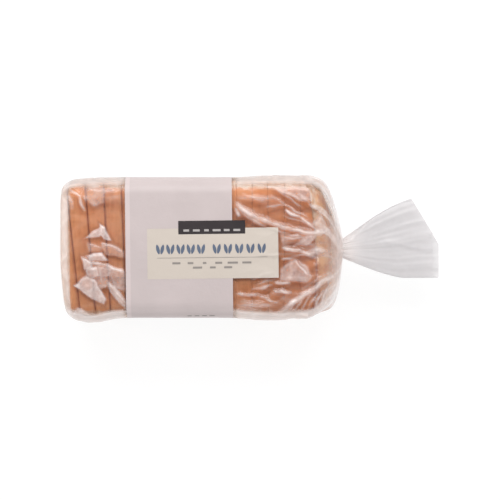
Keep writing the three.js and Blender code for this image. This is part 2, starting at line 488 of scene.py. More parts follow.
@dataclass(frozen=True)
class FilmFinish:
    """Clear crinkled film: glossy, and milky where the mesh's milk attribute says so; that milk is
    film haze with painted highlights and reflections, and the shade attribute tints what shows
    through with painted shade.
    """

    milk: Colour = (0.91, 0.86, 0.85, 1.0)
    milk_shade: Colour = (0.78, 0.69, 0.68, 1.0)
    tail_milk: Colour = (0.73, 0.705, 0.715, 1.0)
    clear: Colour = (1.0, 0.998, 0.995, 1.0)
    painted_shade_tint: Colour = (0.60, 0.43, 0.40, 1.0)
    through: float = 0.25
    calm_from: float = 0.0515
    calm_to: float = 0.0555
    calm_left: float = -0.1145
    calm_low: float = 0.075
    calm_high: float = 0.095
    tail_start: float = 0.115
    tail_end: float = 0.134
    flare_start: float = 0.129
    flare_end: float = 0.152
    clear_haze: float = 0.02
    thin_share: float = 0.42
    ragged_milk: Point = (-0.04, 0.04)
    streaked_milk: Point = (0.04, 0.36)
    specked: Point = (1.05, 0.93)
    clouded: Point = (1.04, 0.82)
    crinkle_scale: float = 85.0
    cell_scale: float = 120.0
    speck_scale: float = 330.0
    cloud_scale: float = 190.0
    grey_scale: float = 300.0
    cell_share: float = 0.3
    relief_depth: float = 0.0012
    relief_shares: Point = (0.4, 0.05)
    milk_roughness: float = 0.38
    specular: float = 0.6
    gloss_roughness: float = 0.2
    tail_roughness: float = 0.4
    index: float = 1.42

    def make(self) -> bpy.types.Material:
        """Build the material.

        Returns:
            The film material.
        """
        nodes = Nodes("crinkled_film")
        place = nodes.place()
        along = nodes.axes(place)[0]
        normal = self.crinkled(nodes, place, along)
        calm = self.calm(nodes, place)
        white = self.white(nodes, place, along, calm)
        front = nodes.surface(white, self.milk_roughness, self.specular, normal)
        back = nodes.add("BsdfTranslucent", {"Color": white, "Normal": normal}).outputs[0]
        milky = nodes.mix_shaders(self.through, front, back)
        # Painted shade: the shade attribute darkens what shows through the clear film.
        tint = nodes.mix(nodes.attribute("shade"), self.clear, self.painted_shade_tint)
        clear = nodes.add("BsdfTransparent", {"Color": tint}).outputs[0]
        veil = nodes.mix_shaders(self.haze(nodes, place, calm), clear, milky)
        roughness = (self.gloss_roughness, self.tail_roughness)
        gloss = nodes.add("BsdfGlossy", {
            "Color": WHITE,
            "Roughness": nodes.spread(along, self.tail_start, self.tail_end, roughness),
            "Normal": normal,
        }).outputs[0]
        edge = nodes.add("Fresnel", {"IOR": self.index}).outputs[0]
        return nodes.finish(nodes.mix_shaders(edge, veil, gloss))

    def crinkled(self, nodes: Nodes, place: Socket, along: Socket) -> Socket:
        """Crinkles of the film, which are faint on the tail.

        Args:
            nodes: The material's nodes.
            place: Object coordinates.
            along: Place along the loaf.

        Returns:
            The bumped normal.
        """
        crinkle = nodes.noise(place, self.crinkle_scale)
        cells = nodes.add("TexVoronoi", {"Vector": place, "Scale": self.cell_scale})
        shallow = nodes.math("MULTIPLY", cells.outputs["Distance"], self.cell_share)
        relief = nodes.math("ADD", crinkle, shallow)
        strength = nodes.spread(along, self.tail_start, self.tail_end, self.relief_shares)
        return nodes.bump(relief, self.relief_depth, strength)

    def haze(self, nodes: Nodes, place: Socket, calm: Socket) -> Socket:
        """How milky the film is: ragged and streaked where it isn't calm.

        Args:
            nodes: The material's nodes.
            place: Object coordinates.
            calm: Share of even film.

        Returns:
            Share of the milky film, from 0 to 1.
        """
        milk = nodes.attribute("milk")
        speck = nodes.noise(place, self.speck_scale, 4.0, 0.6)
        cloud = nodes.noise(place, self.cloud_scale, 3.0, 0.55)
        ragged = nodes.math("ADD", milk, nodes.spread(speck, 0.25, 0.75, self.ragged_milk))
        streak = nodes.spread(ragged, *self.streaked_milk, (self.thin_share, 1.0))
        streak = nodes.math("MULTIPLY", streak, nodes.spread(speck, 0.3, 0.7, self.specked))
        streak = nodes.math("MULTIPLY", streak, nodes.spread(cloud, 0.3, 0.65, self.clouded))
        missing = nodes.math("SUBTRACT", 1.0, streak)
        streak = nodes.math("ADD", streak, nodes.math("MULTIPLY", calm, missing))
        streaked = nodes.math("MULTIPLY", milk, streak)
        return nodes.math("ADD", streaked, self.clear_haze, clamp=True)

    def white(self, nodes: Nodes, place: Socket, along: Socket, calm: Socket) -> Socket:
        """Colour of the milky film: mottled round the bread, greyer on the tail.

        Args:
            nodes: The material's nodes.
            place: Object coordinates.
            along: Place along the loaf.
            calm: Share of even film.

        Returns:
            The colour.
        """
        grey = nodes.spread(nodes.noise(place, self.grey_scale, 4.0, 0.65), 0.44, 0.7)
        grey = nodes.math("MULTIPLY", grey, nodes.math("SUBTRACT", 1.0, calm))
        flared = nodes.spread(along, self.flare_start, self.flare_end)
        mottled = nodes.mix(grey, self.milk, self.milk_shade)
        return nodes.mix(flared, mottled, self.tail_milk)

    def calm(self, nodes: Nodes, place: Socket) -> Socket:
        """Where the milkiness is even: on the tail, the rounded edges and the sealed end.

        Args:
            nodes: The material's nodes.
            place: Object coordinates.

        Returns:
            Share of even film, from 0 to 1.
        """
        x, y, z = nodes.axes(place)
        tail = nodes.spread(x, self.tail_start, self.tail_end)
        aside = nodes.spread(nodes.absolute(y), self.calm_from, self.calm_to)
        aside = nodes.math("MULTIPLY", aside, nodes.spread(z, self.calm_low, self.calm_high))
        ending = nodes.spread(x, self.calm_left, self.calm_left - 0.002)
        return nodes.math("MAXIMUM", tail, nodes.math("MAXIMUM", aside, ending))


@dataclass(frozen=True)
class InkFinish:
    """A field of ink printed on the film."""

    name: str
    colour: Colour
    second: Colour
    cover: float = 1.0
    cloud_scale: float = 30.0
    crinkle_scale: float = 130.0
    relief_depth: float = 0.0008
    relief_share: float = 0.4
    roughness: float = 0.42
    specular: float = 0.35

    def make(self) -> bpy.types.Material:
        """Build the material.

        Returns:
            The ink's material.
        """
        nodes = Nodes(self.name)
        place = nodes.place()
        cloud = nodes.spread(nodes.noise(place, self.cloud_scale), 0.3, 0.7)
        crinkle = nodes.noise(place, self.crinkle_scale, 4.0, 0.55)
        colour = nodes.mix(cloud, self.colour, self.second)
        normal = nodes.bump(crinkle, self.relief_depth, self.relief_share)
        ink = nodes.surface(colour, self.roughness, self.specular, normal)
        if self.cover >= 1.0:
            return nodes.finish(ink)
        clear = nodes.add("BsdfTransparent", {"Color": WHITE}).outputs[0]
        return nodes.finish(nodes.mix_shaders(self.cover, clear, ink))


@dataclass(frozen=True)
class Finishes:
    """Every material of the pack."""

    crust: CrustFinish = CrustFinish()
    crumb: CrumbFinish = CrumbFinish()
    film: FilmFinish = FilmFinish()
    band: InkFinish = InkFinish(
        "lilac_grey_ink", (0.56, 0.485, 0.48, 1.0), (0.53, 0.459, 0.454, 1.0), cover=0.96
    )
    edge: InkFinish = InkFinish(
        "pale_edge_ink", (0.61, 0.515, 0.505, 1.0), (0.58, 0.50, 0.495, 1.0)
    )
    label: InkFinish = InkFinish(
        "cream_label_ink", (0.572, 0.507, 0.448, 1.0), (0.556, 0.491, 0.433, 1.0)
    )
    dark: InkFinish = InkFinish(
        "black_bar_ink", (0.026, 0.020, 0.022, 1.0), (0.032, 0.025, 0.027, 1.0)
    )
    blue: InkFinish = InkFinish(
        "grey_blue_ink", (0.097, 0.123, 0.182, 1.0), (0.115, 0.143, 0.205, 1.0)
    )
    mark: InkFinish = InkFinish(
        "pale_mark_ink", (0.44, 0.41, 0.40, 1.0), (0.40, 0.375, 0.365, 1.0)
    )
    line: InkFinish = InkFinish(
        "grey_line_ink", (0.24, 0.215, 0.20, 1.0), (0.27, 0.245, 0.225, 1.0)
    )


# Pieces


def finished(
    shape: bmesh.types.BMesh, name: str, materials: list[bpy.types.Material]
) -> bpy.types.Object:
    """Turn a bmesh into a finished piece of the pack.

    Args:
        shape: The bmesh in metres, which is freed.
        name: Name of the piece.
        materials: Its materials, in the order of its faces' material numbers.

    Returns:
        The piece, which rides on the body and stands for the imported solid.
    """
    mesh = bpy.data.meshes.new(name)
    shape.to_mesh(mesh)
    shape.free()
    for material in materials:
        mesh.materials.append(material)
    piece = bpy.data.objects.new(name, mesh)
    bpy.context.scene.collection.objects.link(piece)
    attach(piece, BODY)
    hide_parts(NODE)
    logger.info("%s: %d faces", name, len(mesh.polygons))
    return piece


@dataclass(frozen=True)
class Fold:
    """A ridge of slack film over the crown, in plan, in millimetres."""

    start: Point
    end: Point
    height: float = 1.6
    width: float = 3.5
    milk: float = 0.35
    bow: float = 0.0
    sharpness: float = 1.3
    far_shade: float = 0.35

    def parts(self, x: np.ndarray, y: np.ndarray) -> tuple[np.ndarray, np.ndarray, np.ndarray]:
        """Height, milkiness and shade that the fold adds.

        Args:
            x: Plan positions along the loaf.
            y: Plan positions across it.

        Returns:
            Height in millimetres, milkiness that is partly a painted highlight, and the painted
            shade beside the ridge, where the film bends the light away.
        """
        run = np.array(self.end) - np.array(self.start)
        length = np.hypot(*run)
        dx, dy = x - self.start[0], y - self.start[1]
        along = (dx * run[0] + dy * run[1]) / length**2
        aside = (dx * run[1] - dy * run[0]) / length
        inside = np.clip(along, 0.0, 1.0)
        aside = aside - self.bow * 4 * inside * (1 - inside)
        taper = np.sqrt(np.sin(math.pi * inside)) * ((along > 0) & (along < 1))
        ridge = 1 / np.cosh(self.sharpness * aside / self.width)
        lower = 1.25 * self.width + 0.5
        side = np.exp(-(((np.abs(aside) - lower) / (0.45 * lower)) ** 2))
        # Painted shade, stronger on one side of the ridge than on the other.
        side = side * np.where(aside * run[0] > 0, 1.0, self.far_shade)
        return self.height * taper * ridge, self.milk * taper * ridge**1.5, taper * side * self.milk


@dataclass(frozen=True)
class Patch:
    """A flat facet of film that stands off the crown and shows milky, in plan; its milk is partly a
    painted highlight.
    """

    corners: tuple[Point, ...]
    height: float = 1.3
    milk: float = 0.5
    soft: float = 1.9
    veil: float = 0.66
    edge_shade: float = 0.5

    def parts(self, x: np.ndarray, y: np.ndarray) -> tuple[np.ndarray, np.ndarray, np.ndarray]:
        """Height, milkiness and shade that the facet adds.

        Args:
            x: Plan positions along the loaf.
            y: Plan positions across it.

        Returns:
            Height in millimetres, milkiness that is partly a painted highlight, and the painted
            shade round the facet.
        """
        points = np.array(self.corners)
        middle = points.mean(axis=0)
        inside = np.full(x.shape, np.inf)
        for p, q in zip(points, np.roll(points, -1, axis=0)):
            normal = np.array([q[1] - p[1], p[0] - q[0]]) / np.hypot(*(q - p))
            if np.dot(middle - p, normal) < 0:
                normal = -normal
            inside = np.minimum(inside, (x - p[0]) * normal[0] + (y - p[1]) * normal[1])
        mask = smooth(inside, -0.4 * self.soft, self.soft)
        rim = np.exp(-((inside / (0.6 * self.soft)) ** 2))
        edge = np.exp(-(((inside + 1.1 * self.soft) / (0.6 * self.soft)) ** 2))
        haze = self.milk * self.veil * (mask + rim * (inside > -self.soft))
        return self.height * mask, haze, self.edge_shade * self.milk * edge


@dataclass(frozen=True)
class BagForm:
    """Outer form of the bag without its creases, in millimetres."""

    height: float = 115.0
    back: float = 63.3
    front: float = 61.4
    corner: float = 15.0
    sealed_end: float = -123.0
    sealed_round: float = 15.0
    sealed_draw: float = 9.0
    seam_half_width: float = 47.0
    seam_depth: float = 2.5
    shoulder: float = 95.0
    neck: float = 129.5
    neck_radius: float = 8.5
    neck_height: float = 57.5
    back_draw: Point = (0.0, 3.8)
    front_draw: Point = (0.16, 9.5)
    top_draw: Point = (0.0, 2.4)
    base_draw: Point = (0.0, 4.5)
    slack: tuple[tuple[float, int, float, float], ...] = (
        (-96.0, -1, 4.5, 17.0),
        (62.0, -1, 2.4, 22.0),
        (70.0, 1, 1.3, 25.0),
        (-123.0, 1, -2.4, 20.0),
    )

    def slack_at(self, x: np.ndarray, side: int) -> np.ndarray:
        """How far slack film stands off the bread on one side.

        Args:
            x: Places along the loaf.
            side: 1 for the back and -1 for the front.

        Returns:
            Distances in millimetres.
        """
        total = np.zeros_like(x)
        for place, where, height, spread in self.slack:
            if where == side:
                total = total + height * np.exp(-(((x - place) / spread) ** 2))
        return total

    def section(self, x: np.ndarray) -> tuple[np.ndarray, ...]:
        """The bag's rounded rectangle round the bread.

        Args:
            x: Places along the loaf.

        Returns:
            Middle y, middle z, half width, half height and corner radius.
        """
        end = np.clip((self.sealed_end + self.sealed_round - x) / self.sealed_round, 0, 1)
        drawn = self.sealed_draw * (1 - np.sqrt(1 - end**2))
        s = np.clip((x - self.shoulder) / (self.neck - self.shoulder), 0, 1)

        def edge(full: np.ndarray, at_neck: float, draw: Point) -> np.ndarray:
            """One side, drawn in towards the neck."""
            even, power = draw
            return blend(full, at_neck, even * s + (1 - even) * s**power)

        back = edge(self.back - drawn + self.slack_at(x, 1), self.neck_radius, self.back_draw)
        front = edge(self.front - drawn + self.slack_at(x, -1), self.neck_radius, self.front_draw)
        top = edge(self.height - drawn, self.neck_height + self.neck_radius, self.top_draw)
        base = edge(0 * x, self.neck_height - self.neck_radius, self.base_draw)
        radius = blend(self.corner, np.minimum(back, front), s**2)
        return (back - front) / 2, (top + base) / 2, (back + front) / 2, (top - base) / 2, radius


@dataclass(frozen=True)
class TailForm:
    """Form of the loose film past the neck, in millimetres."""

    reach: float = 89.0
    back_cut: float = 25.5
    cut_start: float = -0.15
    back_edge: float = 45.8
    front_edge: float = -26.9
    front_flare: float = 0.62
    droop: float = 9.0
    half_thickness: float = 1.6
    mouth_gap: float = 0.9
    lip: float = 6.0
    pinch: float = 0.8
    waves: tuple[tuple[float, float, float, float], ...] = (
        (3.1, 0.4, 0.9, 1.0),
        (5.3, 1.9, -1.3, 0.75),
        (8.7, 0.2, 1.6, 0.5),
        (13.4, 2.6, -0.8, 0.28),
    )
    wave_at_neck: float = 0.08
    wave_at_mouth: float = 0.27
    valley: Fold = Fold((176.0, 3.0), (216.0, -4.5), -1.3, 3.4, 0.0, 1.2)
    crest: Fold = Fold((166.0, 7.6), (217.0, -1.6), 1.2, 2.6, 0.0, 1.6)
    neck_milk: float = 0.9
    milk: float = 0.78


@dataclass
class Film:
    """The bag's film as one sheet, with its creases, gathers and milkiness."""

    form: BagForm = field(default_factory=BagForm)
    tail: TailForm = field(default_factory=TailForm)
    around: int = 324
    crown_density: float = 0.42
    end_rows: int = 9
    round_rows: int = 16
    stretches: tuple[tuple[float, int], ...] = ((-60.0, 58), (27.0, 38), (95.0, 82))
    shoulder_rows: int = 44
    tail_rows: int = 50
    seed: int = 7
    fine_folds: int = 22
    fine_starts: Point = (36.0, 96.0)
    fine_lengths: Point = (14.0, 34.0)
    fine_places: Point = (-52.0, 52.0)
    fine_end: float = 121.0
    fine_least: Ring = (0.4, 0.7, 0.1)
    fine_most: Ring = (1.1, 1.2, 0.4)
    fine_bows: Point = (-1.2, 1.2)
    corner_draw: float = 3.4
    band: Point = (-64.7, 29.5)
    seam_foot: float = 0.9
    seam_half_thickness: float = 0.35
    seam_milk: float = 0.35
    tuck: float = 0.25
    tuck_width: float = 6.0
    end_milk: float = 0.16
    gathers_from: float = 38.0
    gather_depth: float = 2.3
    snug_share: float = 0.78
    waver: float = 1.4
    wide_relief: float = 0.45
    crumple_relief: float = 0.8
    side_dip: float = 0.5
    shoulder_dip: float = 1.4
    underside: float = 0.05
    ridge_milk: Point = (0.03, 0.07)
    painted_mottle_shade: float = 0.62
    # Milk of the rims: film haze with a painted reflection of the bright surroundings.
    front_rim: float = 0.78
    back_rim: float = 0.52
    sealed_rim: float = 0.4
    shoulder_rim: float = 0.09
    side_haze: float = 0.06
    ray_milk: float = 0.52
    valley_shade: float = 0.16
    folds: tuple[Fold, ...] = (
        Fold((29.5, 40.4), (56.0, 24.6), 2.0, 2.3, 0.62, 0.8),
        Fold((50.0, 27.6), (82.0, 17.0), 2.0, 2.2, 0.62, 0.6),
        Fold((76.0, 18.2), (106.0, 13.2), 1.9, 1.9, 0.7, 0.4),
        Fold((36.0, 33.0), (60.0, 19.6), 1.4, 1.8, 0.42, 1.2),
        Fold((30.2, 38.0), (35.6, 28.4), 1.1, 1.5, 0.75),
        Fold((75.9, 34.0), (90.0, 27.4), 1.9, 1.4, 0.85, 0.4),
        Fold((87.0, 29.0), (104.0, 17.0), 1.6, 1.3, 0.7, 0.4),
        Fold((63.3, 53.6), (99.2, 40.6), 1.6, 1.6, 0.5, 0.8),
        Fold((30.0, 45.4), (74.0, 43.4), 0.9, 2.8, 0.34),
        Fold((58.0, 36.6), (78.0, 38.4), 0.6, 1.0, 0.3),
        Fold((71.0, 10.4), (92.0, 9.4), 0.9, 1.2, 0.5, 1.0),
        Fold((86.0, 2.6), (97.0, 12.6), 0.9, 1.2, 0.5, 1.4),
        Fold((92.0, 2.0), (101.5, 12.0), 0.9, 1.1, 0.45, 1.2),
        Fold((71.8, 1.0), (90.0, -1.6), 1.6, 1.4, 0.75, 0.6),
        Fold((87.0, -1.2), (103.0, -6.2), 1.6, 1.3, 0.7, 0.8),
        Fold((71.0, -9.6), (84.0, -8.4), 1.0, 1.0, 0.5, 0.4),
        Fold((84.0, -8.2), (101.0, -25.0), 1.5, 1.3, 0.7, 2.6),
        Fold((72.0, -27.6), (99.0, -27.4), 1.1, 1.1, 0.6, -1.2),
        Fold((66.0, -29.4), (80.0, -30.0), 1.2, 1.3, 0.75, 0.6),
        Fold((65.0, -37.4), (83.0, -38.4), 1.3, 1.5, 0.72, 0.5),
        Fold((70.0, -56.0), (104.5, -34.0), 2.0, 2.1, 0.8, -0.6),
        Fold((98.0, -38.0), (119.0, -23.4), 1.9, 1.9, 0.75, -0.5),
        Fold((45.0, -36.6), (66.0, -32.0), 1.0, 1.1, 0.5, 0.5),
        Fold((30.0, -40.4), (55.0, -41.2), 1.2, 1.2, 0.55, 0.4),
        Fold((50.0, -40.6), (74.0, -48.8), 1.2, 1.3, 0.5, 0.8),
        Fold((30.0, -49.2), (68.0, -49.6), 1.2, 1.8, 0.38),
        Fold((79.0, -54.0), (86.0, -46.0), 1.0, 1.0, 0.45),
        Fold((84.0, -54.4), (92.0, -43.6), 1.1, 1.0, 0.45),
        Fold((89.4, -54.4), (98.6, -40.6), 1.1, 1.0, 0.45),
        Fold((95.4, -53.8), (104.6, -38.4), 1.1, 1.0, 0.45),
        Fold((101.6, -52.4), (110.2, -35.4), 1.1, 1.0, 0.45),
        Fold((107.0, -50.0), (114.0, -33.0), 1.0, 1.0, 0.42),
        Fold((-102.0, -8.8), (-93.0, -12.9), 1.7, 1.3, 0.8),
        Fold((-94.5, -12.4), (-81.0, -15.5), 1.6, 1.4, 0.75),
        Fold((-83.5, -15.0), (-64.5, -21.0), 1.8, 1.5, 0.8),
        Fold((-101.6, -8.6), (-100.2, -17.6), 1.2, 1.0, 0.6),
        Fold((-80.5, -30.4), (-70.5, -39.2), 1.2, 1.3, 0.6),
        Fold((-72.5, -37.4), (-63.2, -51.0), 1.4, 1.4, 0.7),
        Fold((-111.4, -57.4), (-106.6, -52.8), 1.0, 1.1, 0.7),
        Fold((-107.4, -53.2), (-98.0, -57.2), 0.9, 1.0, 0.6),
        Fold((-113.4, 52.6), (-103.0, 45.4), 1.2, 1.3, 0.6),
        Fold((-106.2, 48.4), (-100.0, 32.0), 1.5, 1.5, 0.62, 0.8),
        Fold((-113.0, 48.0), (-112.0, 34.0), 1.0, 1.3, 0.5),
        Fold((-103.2, 47.6), (-98.2, 40.0), 0.9, 0.9, 0.36),
        Fold((-101.0, 43.0), (-66.0, 46.0), 0.8, 3.4, 0.2),
        Fold((-101.0, 50.0), (-66.0, 51.0), 0.6, 3.0, 0.3),
    )
    patches: tuple[Patch, ...] = (
        Patch(((-103.1, 10.1), (-92.4, 15.3), (-86.8, 20.7), (-84.2, 14.0), (-88.5, 10.9)),
              milk=0.78),
        Patch(((-86.9, 20.7), (-83.4, 18.5), (-78.6, 8.2), (-83.0, 8.7), (-87.4, 14.0)),
              milk=0.74),
        Patch(((-97.4, -6.9), (-93.0, -4.9), (-86.2, -4.9), (-82.0, -9.6), (-88.5, -10.0),
               (-95.2, -9.2)), milk=0.74),
        Patch(((-101.8, -8.6), (-94.0, -12.0), (-94.0, -18.5), (-100.4, -18.0)), milk=0.66),
        Patch(((-99.5, -17.0), (-83.0, -15.8), (-65.5, -21.6), (-76.0, -28.0), (-84.0, -35.5),
               (-94.5, -36.5)), milk=0.36, height=0.8, soft=2.6),
        Patch(((-80.0, -20.0), (-65.5, -21.6), (-65.0, -37.0), (-74.0, -33.0)), milk=0.4,
              height=0.5, soft=2.6),
        Patch(((-99.0, -17.6), (-90.5, -15.6), (-89.0, -24.0), (-96.6, -27.0)), milk=0.6,
              height=0.7),
        Patch(((-89.0, -15.8), (-77.0, -18.0), (-79.0, -24.4), (-87.4, -24.0)), milk=0.6,
              height=0.6),
        Patch(((-76.0, -18.6), (-65.6, -22.0), (-72.6, -25.0), (-77.6, -24.0)), milk=0.4,
              height=0.6),
        Patch(((-87.3, -25.3), (-82.9, -23.6), (-78.0, -30.6), (-82.9, -33.4)), milk=0.4,
              height=0.7),
        Patch(((-111.9, -34.9), (-98.6, -25.0), (-92.6, -27.4), (-82.6, -44.6), (-84.3, -50.0),
               (-94.0, -43.4)), milk=0.8),
        Patch(((-80.4, -30.4), (-74.6, -33.8), (-69.8, -38.6), (-63.2, -49.0), (-64.0, -52.0),
               (-71.0, -45.8), (-77.4, -38.0)), milk=0.66),
        Patch(((-97.6, 4.0), (-90.0, 2.6), (-84.4, 0.6), (-86.0, -2.0), (-96.6, -1.4)),
              milk=0.26, height=0.6),
        Patch(((-85.2, 5.2), (-78.2, 4.0), (-66.4, -2.8), (-66.4, -7.6), (-83.2, -4.2)),
              milk=0.3, height=0.8),
        Patch(((-111.2, -57.9), (-107.0, -52.6), (-104.0, -54.3), (-98.4, -57.6)), milk=0.5),
        Patch(((-99.7, 53.5), (-83.8, 53.5), (-84.0, 41.4), (-92.0, 38.6), (-99.6, 44.6)),
              milk=0.36, height=0.6, soft=3.2),
        Patch(((31.0, 40.0), (56.0, 26.0), (82.0, 18.0), (104.0, 14.4), (96.0, 10.8),
               (76.0, 14.2), (54.0, 19.8), (40.0, 27.0)), milk=0.34, height=0.5),
        Patch(((72.9, -18.4), (83.6, -10.0), (94.0, -15.6), (98.6, -26.0), (95.0, -28.8),
               (72.9, -26.8)), milk=0.45, height=0.7, soft=2.8),
        Patch(((84.4, 2.3), (92.0, 9.5), (98.6, 12.0), (97.2, 6.0), (92.0, 2.9)), milk=0.4,
              height=0.7),
        Patch(((71.6, 13.0), (86.0, 12.0), (90.0, 5.4), (74.0, 3.4)), milk=0.28, height=0.5),
        Patch(((64.4, 53.9), (92.0, 53.4), (99.4, 49.0), (98.6, 42.0), (80.3, 48.0)),
              milk=0.46, height=0.6),
        Patch(((32.0, -44.6), (60.6, -46.0), (70.0, -50.6), (32.0, -53.8)), milk=0.12,
              height=0.5),
        Patch(((66.0, -50.0), (82.0, -46.0), (96.0, -37.0), (78.0, -40.0)), milk=0.17,
              height=0.5),
        Patch(((99.0, 20.0), (107.0, 30.0), (114.0, 16.0), (106.0, 12.0)), milk=0.3,
              height=0.8),
    )

    def shares_round(self) -> np.ndarray:
        """Shares of the way round, closer together over the crown, with the first one again."""
        even = np.arange(self.around + 1) / self.around
        shares = even - self.crown_density * (1 - np.cos(2 * math.pi * even)) / (2 * math.pi)
        shares = shares % 1.0
        shares[-1] = 0.0
        return shares

    def end_face(self, t: np.ndarray) -> tuple[np.ndarray, np.ndarray]:
        """The sealed end: the seam's edge, its foot, and the face out to the rounded rim.

        Args:
            t: Shares of the way round.

        Returns:
            Points row by row, and their milkiness.
        """
        form = self.form
        middle_y, middle_z, half_y, half_z, _ = form.section(np.array([form.sealed_end]))
        foot = form.sealed_end - self.seam_foot
        points, milk = [], []
        for row in range(self.end_rows):
            if row < 2:
                thickness = self.seam_half_thickness * row
                y = form.seam_half_width * np.cos(2 * math.pi * t)
                z = thickness * np.sin(2 * math.pi * t)
                x = np.full(t.shape, foot - form.seam_depth * (1 - row))
            else:
                share = (row - 1) / (self.end_rows - 1)
                width = blend(form.seam_half_width, half_y[0], share)
                y, z, _, _ = outline(t, width, half_z[0] * share, form.corner)
                aside = np.maximum(0, np.abs(y) - form.seam_half_width + self.tuck_width)
                tuck = aside * (1 - share) * self.tuck
                x = form.sealed_end - self.seam_foot * (1 - share) + tuck
            points.append(np.stack([x, middle_y[0] + y, middle_z[0] + z], axis=-1))
            milk.append(np.full(t.shape, self.seam_milk if row < 2 else self.end_milk))
        return np.array(points), np.array(milk)

    @staticmethod
    def gather_wave(t: np.ndarray) -> np.ndarray:
        """Round waves and sharp folds of the gathers, once round the film.

        Args:
            t: Shares of the way round.

        Returns:
            Heights for gathers of depth 1.
        """
        turn = 2 * math.pi * t
        coarse = np.cos(13 * turn) + 0.45 * np.cos(8 * turn + 1.0)
        fine = np.abs(np.sin(17 * turn + 0.6 * np.sin(3 * turn))) - 0.6
        return 0.62 * coarse / 1.45 + 0.6 * fine

    def gathers(self, t: np.ndarray, x: np.ndarray) -> np.ndarray:
        """Relief of the gathers that run from the bread's shoulder into the neck.

        Args:
            t: Shares of the way round.
            x: Places along the loaf.

        Returns:
            Heights in millimetres.
        """
        neck = self.form.neck
        reached = smooth(x, self.gathers_from, neck) ** 1.5
        depth = blend(self.gather_depth * reached, self.tail.pinch, smooth(x, neck - 12.0, neck))
        return depth * self.gather_wave(t)

    def gather_folds(self) -> list[Fold]:
        """Fine folds over the crown that run towards the neck.

        Returns:
            The folds.
        """
        draws = np.random.default_rng(self.seed)
        folds = []
        for _ in range(self.fine_folds):
            start = draws.uniform(*self.fine_starts)
            end = min(start + draws.uniform(*self.fine_lengths), self.fine_end)
            y = draws.uniform(*self.fine_places)
            drawn = 1 - (end - start) / (self.form.neck + 18.0 - start)
            height, width, milk = draws.uniform(self.fine_least, self.fine_most)
            folds.append(Fold((start, y), (end, y * drawn), height, width, milk,
                              draws.uniform(*self.fine_bows)))
        return folds

    def body(self, t: np.ndarray, row_x: np.ndarray) -> tuple[np.ndarray, np.ndarray, np.ndarray]:
        """The film round the bread, up to the neck.

        Args:
            t: Shares of the way round, in one row.
            row_x: Places along the loaf, in one column.

        Returns:
            Points, their milkiness and their shade.
        """
        form = self.form
        middle_y, middle_z, half_y, half_z, radius = form.section(row_x)
        y, z, out_y, out_z = outline(t, half_y, half_z, radius)
        x = row_x + 0 * t
        y, z = middle_y + y, middle_z + z
        base = np.stack([x, y, z], axis=-1)
        snug = smooth(x, self.band[0] - 5, self.band[0] + 4)
        snug = snug * (1 - smooth(x, self.band[1] - 3, self.band[1] + 8))
        under = np.maximum(0.0, -out_z) * (1 - smooth(x, form.shoulder, form.neck))
        loose = (1 - self.snug_share * snug) * (1 - under)
        crown = np.maximum(0.0, out_z) ** 0.5
        lift, milk, shade = self.creases(base)
        ridged = self.ridges(base, out_z)
        crumple = np.maximum(0.0, ridged) * (0.4 + 0.6 * smooth(x, 25.0, 110.0))
        wide = self.wide_relief * noise_at(base, 34.0, 3.1)
        relief = (crown * lift + wide + self.crumple_relief * crumple) * loose
        relief = relief + self.gathers(t, x) * (1 - under)
        relief = relief - self.side_dip * loose * (1 - crown) * smooth(-z, -100.0, -40.0)
        over_shoulder = smooth(x, 95.0, 112.0) * (1 - smooth(x, 122.0, 129.0))
        relief = relief - self.shoulder_dip * (1 - under) * over_shoulder
        points = base + relief[..., None] * np.stack([0 * x, out_y, out_z], axis=-1)
        points[..., 2] = np.maximum(points[..., 2], self.underside)

        # The milk is film haze with painted highlights on the creases and ridges and a painted
        # reflection on the rims; the shade is painted shade.
        milk, shade = self.mottled(base, milk, shade)
        milk = milk * crown * (1 - snug)
        share = self.ridge_milk[0] + self.ridge_milk[1] * crown
        milk = milk + share * smooth(ridged, 0.45, 1.0) * loose
        milk = milk + self.rim_haze_and_reflection(x, out_y, out_z) * (1 - snug)
        rays, valleys = self.shoulder_rays(t, x)
        return points, milk + rays, np.maximum(shade * crown * (1 - snug), valleys)

    def creases(self, base: np.ndarray) -> tuple[np.ndarray, np.ndarray, np.ndarray]:
        """Every fold and facet over the crown, with wavering edges.

        Args:
            base: Points of the smooth film.

        Returns:
            Their height, milkiness that is partly a painted highlight, and painted shade.
        """
        x = base[..., 0] + self.waver * noise_at(base, 8.0, 1.7)
        y = base[..., 1] + self.waver * noise_at(base, 8.0, 9.4)
        lift, milk, shade = np.zeros_like(x), np.zeros_like(x), np.zeros_like(x)
        for crease in (*self.folds, *self.gather_folds(), *self.patches):
            height, haze, dark = crease.parts(x, y)
            lift = lift + height
            milk = np.maximum(milk, haze)
            shade = np.maximum(shade, dark)
        return lift, milk, shade

    @staticmethod
    def ridges(base: np.ndarray, out_z: np.ndarray) -> np.ndarray:
        """Sharp crumpled ridges: along the loaf on its crown, up and down its sides.

        Args:
            base: Points of the smooth film.
            out_z: How far the film there faces up.

        Returns:
            1 on a ridge, and less beside it.
        """
        on_crown = 1 - 2.4 * np.abs(noise_at(base * np.array([0.6, 1.0, 1.0]), 15.0, 8.7))
        aside = 1 - 2.4 * np.abs(noise_at(base * np.array([1.0, 1.0, 0.35]), 13.0, 4.3))
        return blend(aside, on_crown, smooth(out_z, 0.3, 0.9))

    def mottled(
        self, base: np.ndarray, milk: np.ndarray, shade: np.ndarray
    ) -> tuple[np.ndarray, np.ndarray]:
        """Make the creases unevenly milky, and darken mottles of painted shade inside the milky
        ones.

        Args:
            base: Points of the smooth film.
            milk: The creases' milkiness.
            shade: The creases' shade.

        Returns:
            The milkiness and the shade.
        """
        patchy = 0.5 + 0.35 * noise_at(base, 9.0, 5.5)
        patchy = patchy + 0.3 * noise_at(base * np.array([0.7, 1.3, 1.0]), 4.6, 2.6)
